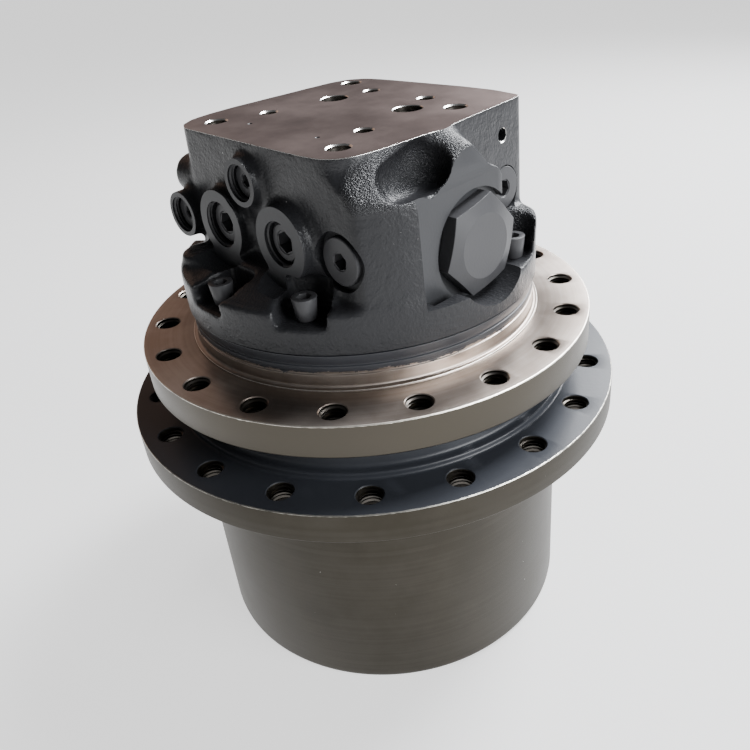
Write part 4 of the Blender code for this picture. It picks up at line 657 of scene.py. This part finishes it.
ridge = [
    (pad_face, -15.0, 292.0), (pad_face, -6.0, 299.4), (pad_face, -1.0, 302.0),
    (pad_face, 4.0, 302.0), (pad_face, 13.0, 292.5),
    (72.0, -12.0, 303.0), (71.0, -7.0, 311.0), (71.0, 0.0, 311.0), (69.0, 9.0, 305.0), (68.0, 19.0, 289.0),
    (pad_face, -15.0, 262.0), (pad_face, 13.0, 262.0), (66.0, -20.0, 262.0), (66.0, 20.0, 262.0), (66.0, -18.0, 296.0),
]
# x, z, radius and length of each boss
front_bosses = [
    (-0.5, 290.5, 11.9, 7.5), (-64.0, 263.0, 12.5, 8.0), (-24.0, 265.1, 18.2, 8.5), (28.5, 265.7, 18.4, 9.5),
]
# x, y, z and radius of the balls between which the scoop is drawn
scoop_ends = [(79.2, -40.5, 294.6, 10.2), (76.6, -19.5, 296.6, 12.2)]
# angle, radius and foot height of each cover screw
screw_spots = [
    (-93.9, 89.0, 231.9), (-58.6, 88.6, 232.9), (25.5, 90.0, 233.0), (70.0, 88.5, 233.0), (110.0, 88.5, 233.0),
    (150.0, 88.5, 233.0), (-152.0, 88.5, 233.0),
]

bulge = []
for radius, height, fall in ((99.8, form_foot, 0.0), (99.8, rim_top, 0.0), (98.8, 291.5, 6.5)):
    for step in range(10):
        x, y = polar(radius, -40.3 + 18.3 * step / 9)
        bulge.append((x, max(y, front_wall - 2.5), height - fall * step / 9))
bulge += [(54.0, front_wall, form_foot), (54.0, -26.0, form_foot), (pad_face, -26.0, form_foot)]
bulge += [(54.0, front_wall - 2.0, 288.0), (54.0, -26.0, 286.0), (pad_face, -26.0, 284.0)]
bulge += [(56.0, front_wall - 2.5, 306.0), (71.0, -47.0, 307.0), (72.0, -30.0, 307.0)]

shelf = []
for x, high in ((-52.0, 246.0), (-30.0, 251.0), (0.0, 252.5), (30.0, 252.5), (58.0, 250.0)):
    front = -sqrt(97.0**2 - x**2)
    shelf += [(x, -60.0, high), (x, -60.0, 232.0), (x, front, rim_top - 0.5), (x, front, 232.0)]

rim = [(0.0, 213.0), (rim_radius + 0.4, 213.0), (rim_radius + 0.4, rim_top + 0.3), (0.0, rim_top + 0.3)]
body = [(x, y, block_top + 2.5) for x, y in face_outline]
body += [(x, y, form_foot) for x, y in round_corners(-72.2, 70.2, front_wall - 0.2, 70.2, 16.0)]
cast_forms = [
    turned_solid(metres(rim), 180),
    wrapped(body),
    wrapped(bulge),
    wrapped(ridge),
    facing_right(upright([(-z, y) for y, z in reversed(pad_shape)], 54.0, pad_face + 0.6), 0.0, 0.0, 0.0),
    facing_right(rod(31.0, left_pad_face - 0.6, -55.0), *valve_axis),
    wrapped(shelf),
    facing_right(rod(11.4, -80.6, -60.0), 0.0, -50.5, 279.5),
    at(rod(13.2, form_foot, 248.0), *polar(85.0, -121.0)),
]
lug = [
    (92.0, 43.5, 251.5), (87.0, 52.0, 253.0), (80.0, 58.5, 253.2),
    (68.0, 60.0, 254.5), (68.0, 38.0, 254.5), (80.0, 38.5, 252.5),
]
for angle in (27.0, 32.0, 38.0, 44.0):
    for height in (form_foot, 247.5):
        lug.append((*polar(100.2, angle), height))
cast_forms.append(wrapped(lug))
for x, z, radius, length in front_bosses:
    cast_forms.append(facing_front(rod(radius + 0.4, -12.0, length + 3.0), x, front_wall, z))
casting = piece("port_block_casting", joined(cast_forms))


def add_skin(made, size):
    """Live modifier that wraps a piece in one skin of square facets."""
    mould = made.modifiers.new("one_skin", "REMESH")
    mould.mode = "VOXEL"
    mould.voxel_size = size


add_skin(casting, 0.0017)
settled(casting)

scoop = []
for x, y, z, radius in scoop_ends:
    ball = bmesh.new()
    bmesh.ops.create_uvsphere(ball, u_segments=48, v_segments=24, radius=radius)
    scoop += [(x + vert.co.x, y + vert.co.y, z + vert.co.z) for vert in ball.verts]
    ball.free()
hollows = [wrapped(scoop), upright([(74.5, 25.0), (106.0, 25.0), (95.0, 49.6), (80.0, 42.0)], 233.8, 262.0)]
for angle, circle, foot in screw_spots:
    if angle == 25.5:
        cup = [(0.0, 233.0), (9.9, 233.0), (9.9, 243.0), (13.6, 253.0), (13.6, 262.0), (0.0, 262.0)]
        hollows.append(at(turned_solid(metres(cup), 64), *polar(circle, angle)))
    else:
        notch = upright(round_corners(74.5, 112.0, -13.5, 13.5, 3.0), foot - 0.3, 251.0)
        swing = Matrix.Rotation(radians(angle), 3, "Z")
        bmesh.ops.rotate(notch, verts=notch.verts[:], cent=(0, 0, 0), matrix=swing)
        hollows.append(notch)
for hollow in hollows:
    machined(casting, hollow)
add_skin(casting, 0.00135)
soft = casting.modifiers.new("mould_corners", "SMOOTH")
soft.factor = 0.5
soft.iterations = 11
settled(casting)

past = 115.0
all_over = [(-past, -past), (past, -past), (past, past), (-past, past)]
machined(casting, upright(all_over, block_top, block_top + 20.0))
machined(casting, upright(all_over, 200.0, block_foot))
machined(casting, upright([(pad_face, -39.6), (past, -39.6), (past, 27.0), (pad_face, 27.0)], 235.0, 301.6))
machined(casting, upright([(pad_face, -33.0), (90.5, -33.0), (90.5, -9.0), (pad_face, -9.0)], 229.5, 236.0))
for side, face in ((1.0, pad_face), (-1.0, left_pad_face)):
    for radius, depth in ((28.0, 4.0), (19.3, 25.0)):
        low, high = sorted((face - side * depth, side * past))
        machined(casting, facing_right(rod(radius, low, high, 96), *valve_axis))
for x, z, radius, length in front_bosses:
    machined(casting, facing_front(rod(radius + 5.0, length, length + 12.0, 64), x, front_wall, z))
# x, z, radius, boss length, how deep the plug sits, its socket's flats and its bevel
front_plugs = [
    (-0.5, 290.5, 9.3, 7.5, 4.3, 6.0, 1.4), (-64.0, 263.0, 10.0, 8.0, 4.3, 6.0, 1.4),
    (-24.0, 265.1, 12.4, 8.5, 3.8, 10.0, 2.6),
    (28.5, 265.7, 11.6, 9.5, 3.2, 10.0, 2.6), (62.3, 261.8, 12.0, 1.2, 0.0, 7.7, 0.5),
]
for x, z, radius, length, depth, flats, bevel in front_plugs:
    bore_bottom = length - depth - 12.5
    machined(casting, facing_front(rod(radius + 0.1, bore_bottom, length + 12.0, 64), x, front_wall, z))
corner_plug_x, corner_plug_z = front_plugs[-1][:2]
side_plug_place = (47.5, 265.5)
side_tap_y, side_tap_z = 47.5, 293.5
machined(casting, facing_front(rod(15.0, -2.0, 12.0, 64), corner_plug_x, front_wall, corner_plug_z))
machined(casting, facing_right(rod(12.2, 57.0, 90.0, 64), 0.0, *side_plug_place))
machined(casting, facing_right(tapped_hole(3.3, 68.7, 54.0, 1.0), 0.0, side_tap_y, side_tap_z))

# x, y, radius and depth of each threaded hole in the port face
face_taps = [
    (-52.7, -44.7, 5.7, 22.0), (52.2, -48.4, 5.7, 22.0), (49.9, 33.0, 5.7, 22.0), (-55.5, 56.3, 5.7, 22.0),
    (-41.0, -17.9, 4.5, 18.0), (40.0, -21.5, 4.5, 18.0), (20.3, 42.3, 4.5, 18.0), (-25.3, 44.9, 4.5, 18.0),
]
oil_ports = [(-31.5, 21.5), (28.5, 20.0)]
centre_marks = [(-29.2, -39.1), (28.6, -41.1)]
face_holes = [at(tapped_hole(r, block_top, block_top - deep, 0.7), x, y) for x, y, r, deep in face_taps]
for x, y in oil_ports:
    stepped = [
        (0.0, 275.0), (6.5, 275.0), (6.5, 306.0), (7.8, 306.4), (7.8, 308.6), (8.5, 309.3), (8.5, 312.0), (0.0, 312.0),
    ]
    face_holes.append(at(turned_solid(metres(stepped), 48), x, y))
for x, y in centre_marks:
    pointed = [(0.0, 307.3), (1.6, 309.3), (1.6, 312.0), (0.0, 312.0)]
    face_holes.append(at(turned_solid(metres(pointed), 24), x, y))
machined(casting, joined(face_holes))


def black_paint(name, colour, rough, peel, coarse, depth=0.00012):
    """Semi-gloss black spray over iron, with the orange peel and sand-cast skin under it."""
    finish = bpy.data.materials.new(name)
    finish.use_nodes = True
    tree = finish.node_tree
    shader = tree.nodes["Principled BSDF"]
    place = add(tree, "ShaderNodeTexCoord").outputs["Object"]
    cloud = mottle(tree, place, 26.0, 5.0, 0.6)
    pits = mottle(tree, place, 330.0, 4.0, 0.65)
    skin = mottle(tree, place, 760.0, 2.0, 0.5)
    lumps = mottle(tree, place, 95.0, 3.0, 0.6)
    shader.inputs["Specular IOR Level"].default_value = 0.24
    tint = blended(tree, cloud, tuple(c * 0.78 for c in colour), tuple(c * 1.3 for c in colour))
    relief = sums(tree, times(tree, skin, peel), times(tree, pits, coarse))
    relief = sums(tree, relief, times(tree, lumps, coarse * 1.6))
    return {
        "finish": finish, "tree": tree, "shader": shader, "place": place, "colour": tint,
        "roughness": mixed(tree, cloud, rough - 0.07, rough + 0.09), "metal": 0.0, "relief": relief, "depth": depth,
    }


cast_parts = black_paint("black_casting_paint", (0.0145, 0.0147, 0.0162), 0.33, 0.45, 1.0, 0.00032)
cast_tree = cast_parts["tree"]
rough_skin = add(cast_tree, "ShaderNodeAttribute", attribute_name="rough_skin").outputs["Fac"]
grit = mottle(cast_tree, cast_parts["place"], 1150.0, 2.0, 0.6)
coarse_grit = times(cast_tree, times(cast_tree, grit, rough_skin), 3.2)
cast_parts["relief"] = sums(cast_tree, cast_parts["relief"], coarse_grit)
cast_parts["roughness"] = mixed(cast_tree, rough_skin, cast_parts["roughness"], 0.24)
dusted(cast_parts, 0.07)
smooth_parts = black_paint("black_paint_on_machined_faces", (0.025, 0.0255, 0.0275), 0.38, 0.25, 0.16)
bright_parts = bare_metal("bare_chamfer_steel", (0.82, 0.81, 0.79), (0.66, 0.64, 0.61), 0.24, 1500.0)
face_parts = bare_metal("milled_port_face", (0.31, 0.240, 0.222), (0.24, 0.180, 0.166), 0.36, 40.0)
face_tree = face_parts["tree"]
cutter_axis = (0.26, -0.31, 0.309)
arcs = add(face_tree, "ShaderNodeVectorMath", face_parts["place"], cutter_axis, operation="DISTANCE")
face_parts["relief"] = lines_along(face_tree, arcs.outputs["Value"], 1700.0)
face_parts["depth"] = 0.000012
dusted(face_parts, 0.055)
coat(casting, *(finished(parts) for parts in (cast_parts, smooth_parts, face_parts, bright_parts)), thread_in_painted_shade)
painted, smooth, milled, bright, threaded = range(5)


def held(value, low=0.0, high=1.0):
    """The value, held between these two."""
    return max(low, min(high, value))


# The sand left its grit round the scoop's rim and on the lug on the right.
grit_reach, grit_fade = 0.0185, 0.004
grit_foot, foot_fade = 0.2845, 0.003
clean_reach, clean_fade = 0.0095, 0.0021
lug_middle, lug_reach, lug_fade = Vector((0.084, 0.046, 0.253)), 0.017, 0.005
scoop_line = [Vector(end[:3]) / 1000.0 for end in scoop_ends]
reach = scoop_line[1] - scoop_line[0]
skin = casting.data.attributes.new("rough_skin", "FLOAT", "POINT")
shares = []
for vert in casting.data.vertices:
    along = held((vert.co - scoop_line[0]).dot(reach) / reach.length_squared, -0.55, 1.35)
    away = (vert.co - scoop_line[0] - reach * along).length
    share = held((grit_reach - away) / grit_fade) * held((vert.co.z - grit_foot) / foot_fade)
    if away < clean_reach + clean_fade and 0.0 < along < 1.0:
        share *= held((away - clean_reach) / clean_fade)
    lug_away = (vert.co - lug_middle).length
    shares.append(max(share, held((lug_reach - lug_away) / lug_fade)))
skin.data.foreach_set("value", shares)
mouths = [(x / 1000.0, y / 1000.0, (r + 0.9) / 1000.0) for x, y, r, deep in face_taps]
mouths += [(x / 1000.0, y / 1000.0, 0.0088) for x, y in oil_ports]
flat, slack = 0.999, 0.00005
face_level, mouth_level, deepest_tap = block_top / 1000.0 - slack, 0.3078, 0.286
boss_level, corner_level = -0.0700, (front_wall + 2.0) / 1000.0
pad_level, spotface_depth = pad_face / 1000.0, 0.0045
for face in casting.data.polygons:
    x, y, z = face.center
    normal = face.normal
    if normal.z > flat and z > face_level:
        face.material_index = milled
    # Tap bores below their mouths take the dark thread finish, which is painted shade.
    elif z > deepest_tap and any((x - a) ** 2 + (y - b) ** 2 < r * r for a, b, r in mouths):
        face.material_index = bright if normal.z > 0.2 and z > mouth_level else threaded
    elif normal.x > flat and abs(x - pad_level) < spotface_depth:
        face.material_index = smooth
    elif normal.y < -flat and (y < boss_level or abs(y - corner_level) < slack):
        face.material_index = smooth
    elif x > 0.064 and normal.x < 0.97 and (y - side_tap_y / 1000.0) ** 2 + (z - side_tap_z / 1000.0) ** 2 < 0.0044**2:
        face.material_index = bright
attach(casting, "frame_side")
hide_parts("port_block")


# Port face's edge: the milling left a thin bare corner all round the face, where the paint stops. It
# is a fine bead of bare iron that follows the face's outline just below the face.
def loops_of(edges):
    """Closed rows of points that these edges of a mesh make."""
    beside = {}
    for a, b in edges:
        beside.setdefault(a, []).append(b)
        beside.setdefault(b, []).append(a)
    rows = []
    while beside:
        first = next(iter(beside))
        row, here = [first], first
        while beside.get(here):
            ahead = beside[here].pop()
            beside[ahead].remove(here)
            if not beside[here]:
                del beside[here]
            here = ahead
            row.append(here)
        beside.pop(here, None)
        rows.append(row[:-1])
    return rows


faces_at = {}
for face in casting.data.polygons:
    for key in face.edge_keys:
        faces_at.setdefault(key, []).append(face.material_index)
outline_edges = [key for key, kinds in faces_at.items() if sorted(kinds) in ([painted, milled], [smooth, milled])]
bead_curve = bpy.data.curves.new("port_face_bare_edge", "CURVE")
bead_curve.dimensions = "3D"
bead_radius, bead_drop = 0.00009, 0.00014
bead_curve.bevel_depth = bead_radius
bead_curve.bevel_resolution = 1
for row in loops_of(outline_edges):
    line = bead_curve.splines.new("POLY")
    line.points.add(len(row) - 1)
    for point, index in zip(line.points, row):
        x, y, z = casting.data.vertices[index].co
        point.co = (x, y, z - bead_drop, 1.0)
    line.use_cyclic_u = True
bead_maker = bpy.data.objects.new("bead_maker", bead_curve)
bpy.context.scene.collection.objects.link(bead_maker)
bead_graph = bpy.context.evaluated_depsgraph_get()
bead_mesh = bpy.data.meshes.new_from_object(bead_maker.evaluated_get(bead_graph))
bpy.data.objects.remove(bead_maker, do_unlink=True)
bead = bpy.data.objects.new("port_face_bare_edge", bead_mesh)
bpy.context.scene.collection.objects.link(bead)
coat(bead, bright_parts["finish"])
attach(bead, "frame_side")


# Threads of the port face: four M12 holes for the clamps, four M10 holes inside them, and the two oil
# ports. They are the same cut helix as in the flanges, in smaller sizes.
for name, places, radius, pitch, turns in (
    ("corner_threads", [(x, y, 290.0) for x, y, r, deep in face_taps[:4]], 5.65, 1.75, 10.0),
    ("inner_threads", [(x, y, 292.5) for x, y, r, deep in face_taps[4:]], 4.45, 1.5, 10.0),
    ("oil_port_threads", [(x, y, 292.0) for x, y in oil_ports], 6.45, 1.3, 10.0),
):
    threads = laid_out(name, threads_on, places, {
        "Thread Radius": radius / 1000.0, "Thread Depth": pitch * 0.00042, "Pitch": pitch / 1000.0,
        "Turns": turns, "Finish": thread_in_painted_shade,
    })
    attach(threads, "frame_side")


# Port plugs: turned socket plugs that close the drillings of the block, one in each front boss, one
# flush in the corner, and one in the right wall. They went in before the block was sprayed.
def hexagon(flats, turn=0.0):
    """Hexagon's corners in mm, counterclockwise."""
    radius = flats / sqrt(3.0)
    return [(radius * cos(turn + pi * k / 3), radius * sin(turn + pi * k / 3)) for k in range(6)]


def socket_plug(name, radius, flats, bevel, turn):
    """Plug of 12 mm with its top at height 0, a bevelled rim and a hexagon socket."""
    outline = eased([
        (radius, -11.9, 0.4), (radius, -bevel * 0.8, 0.0), (radius - bevel, 0.0, 0.3),
        (flats * 0.62, 0.0, 0.0), (flats * 0.575, -0.45, 0.0),
    ])
    points = [(0.0, outline[-1][1])] + [tuple(point) for point in reversed(outline)] + [(0.0, -0.0119)]
    made = piece(name, turned_solid(points[::-1], 64))
    return machined(made, upright(hexagon(flats, turn), -7.0, 3.0))


def set_facing(made, turn, x, y, z):
    """Turns a piece's mesh and moves it to its place in mm."""
    made.data.transform(Matrix.Translation((x / 1000.0, y / 1000.0, z / 1000.0)) @ turn)
    return made


plug_paint = finished(black_paint("black_plug_paint", (0.034, 0.034, 0.036), 0.36, 0.25, 0.14))
plug_turns = (0.35, 0.1, 0.2, 0.45, 0.3)
for number, (x, z, radius, length, depth, flats, bevel) in enumerate(front_plugs, 1):
    name = "port_plug_%d" % number
    plug = socket_plug(name + "_turned", radius - 0.05, flats, bevel, plug_turns[number - 1])
    set_facing(plug, towards_front, x, front_wall - length + depth, z)
    coat(plug, plug_paint)
    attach(plug, "frame_side")
    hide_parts(name)
side_plug = socket_plug("side_plug_turned", 11.6, 8.0, 0.5, 0.25)
set_facing(side_plug, towards_right, 68.6, *side_plug_place)
coat(side_plug, plug_paint)
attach(side_plug, "frame_side")
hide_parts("side_plug")
for number, (x, z, radius, length, depth, flats, bevel) in enumerate(front_plugs[:4], 1):
    start = -front_wall + length - depth + 0.3
    threads = laid_out("boss_%d_threads" % number, threads_on, [(x, z, start)], {
        "Thread Radius": (radius + 0.05) / 1000.0, "Thread Depth": 0.0007, "Pitch": 0.0015,
        "Turns": (depth - 1.3) / 1.5, "Finish": plug_paint,
    })
    set_facing(threads, towards_front, 0.0, 0.0, 0.0)
    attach(threads, "frame_side")


# Valve end plugs: forged hexagon plugs, 45 mm across flats, that close both ends of the spool's bore.
# The crown is turned to a shallow cone round a flat middle, and they sit down in their spotfaces.
def break_edges(made, width, angle):
    """Rounds off the edges that are sharper than this angle, and settles the piece."""
    edges = made.modifiers.new("broken_edges", "BEVEL")
    edges.width = width
    edges.segments = 2
    edges.limit_method = "ANGLE"
    edges.angle_limit = radians(angle)
    return settled(made)


crown_height, crown_radius, crown_width = 6.0, 26.6, 10.2
hex_outline = [
    (0.0, -4.0), (10.8, -4.0), (10.8, -16.0), (18.6, -16.0), (19.0, -15.6), (19.0, -3.7), (crown_radius, -3.7),
    (crown_radius, crown_height - crown_width * tan(radians(15.0))), (16.4, crown_height), (0.0, crown_height),
]
for name, node, side, face in (
    ("valve_plug_right", "spool_plug_right", 1.0, pad_face),
    ("valve_plug_left", "spool_plug_left", -1.0, left_pad_face),
):
    plug = piece(name, turned_solid(metres(hex_outline), 96))
    machined(plug, upright(hexagon(45.0, radians(42.9)), -20.0, 10.0), "INTERSECT")
    break_edges(plug, 0.0003, 28.0)
    plug.data.set_sharp_from_angle(angle=radians(9.0))
    set_facing(plug, Matrix.Rotation(side * pi / 2, 4, "Y"), face, *valve_axis[1:])
    coat(plug, plug_paint)
    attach(plug, "frame_side")
    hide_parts(node)


# Cover screws: seven socket head screws that hold the port block on the spindle, standing in the cast
# pockets round the rim. Their heads narrow downwards and were sprayed over with the block.
def screws_tree():
    """Node tree that stands a screw on every point of a mesh."""
    size_names = ("Head Radius", "Foot Radius", "Head Height", "Socket Radius", "Socket Depth")
    tree, sizes = started_tree("screws_on_points", size_names)
    link = tree.links.new
    head = tree.nodes.new("GeometryNodeMeshCone")
    head.inputs["Vertices"].default_value = 40
    link(sizes["Head Radius"], head.inputs["Radius Top"])
    link(sizes["Foot Radius"], head.inputs["Radius Bottom"])
    link(sizes["Head Height"], head.inputs["Depth"])
    socket = tree.nodes.new("GeometryNodeMeshCylinder")
    socket.inputs["Vertices"].default_value = 6
    link(sizes["Socket Radius"], socket.inputs["Radius"])
    twice = tree.nodes.new("ShaderNodeMath")
    twice.operation = "MULTIPLY"
    twice.inputs[1].default_value = 2.0
    link(sizes["Socket Depth"], twice.inputs[0])
    link(twice.outputs[0], socket.inputs["Depth"])
    lift = tree.nodes.new("ShaderNodeCombineXYZ")
    link(sizes["Head Height"], lift.inputs["Z"])
    raised = tree.nodes.new("GeometryNodeTransform")
    link(socket.outputs["Mesh"], raised.inputs["Geometry"])
    link(lift.outputs[0], raised.inputs["Translation"])
    hollow = tree.nodes.new("GeometryNodeMeshBoolean")
    hollow.operation = "DIFFERENCE"
    link(head.outputs["Mesh"], hollow.inputs["Mesh 1"])
    link(raised.outputs["Geometry"], hollow.inputs["Mesh 2"])
    return ended_tree(tree, sizes, hollow)


screw_places = [(*polar(circle, angle), foot + 0.1) for angle, circle, foot in screw_spots]
screws = laid_out("cover_screws", screws_tree(), screw_places, {
    "Head Radius": 0.0064, "Foot Radius": 0.0050, "Head Height": 0.0118,
    "Socket Radius": 0.0036, "Socket Depth": 0.0045, "Finish": plug_paint,
})
break_edges(screws, 0.0004, 40.0)
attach(screws, "frame_side")


# Carried-over inner pieces: gears, shafts, bearings, seals, motor and brake. They are machined steel,
# bronze, rubber or friction lining, hidden in service, and each material slot gets its own finish.
def plain_metal(name, light, dark, rough, marks):
    """Bare metal without any paint or wear."""
    return finished(bare_metal(name, light, dark, rough, marks))


def plain_soft(name, colour, rough):
    """Matt rubber or lining with a fine grain."""
    return finished(black_paint(name, colour, rough, 0.4, 0.3))


inner_finishes = {
    "turned_steel": spindle_parts["finish"],
    "casting_paint": cast_parts["finish"],
    "hub_iron": hub_parts["finish"],
    "gear_steel": plain_metal("hardened_gear_steel", (0.50, 0.49, 0.47), (0.38, 0.36, 0.33), 0.30, 1500.0),
    "bearing_steel": plain_metal("ground_bearing_steel", (0.66, 0.65, 0.64), (0.56, 0.55, 0.53), 0.18, 3000.0),
    "seal_rubber": plain_soft("seal_rubber", (0.016, 0.016, 0.017), 0.62),
    "plug_steel": plug_paint,
    "bearing_bronze": plain_metal("ground_bronze", (0.56, 0.38, 0.18), (0.44, 0.28, 0.12), 0.33, 1800.0),
    "brake_friction": plain_soft("friction_lining", (0.13, 0.095, 0.062), 0.80),
    "spring_steel": plain_metal("oil_tempered_spring_steel", (0.30, 0.30, 0.31), (0.18, 0.18, 0.19), 0.36, 1200.0),
}
for entry in frame["record"]["subparts"]:
    mesh = frame["nodes"][entry["node"]].data
    mesh.materials.clear()
    mesh.materials.append(inner_finishes[entry["material_slot"]])
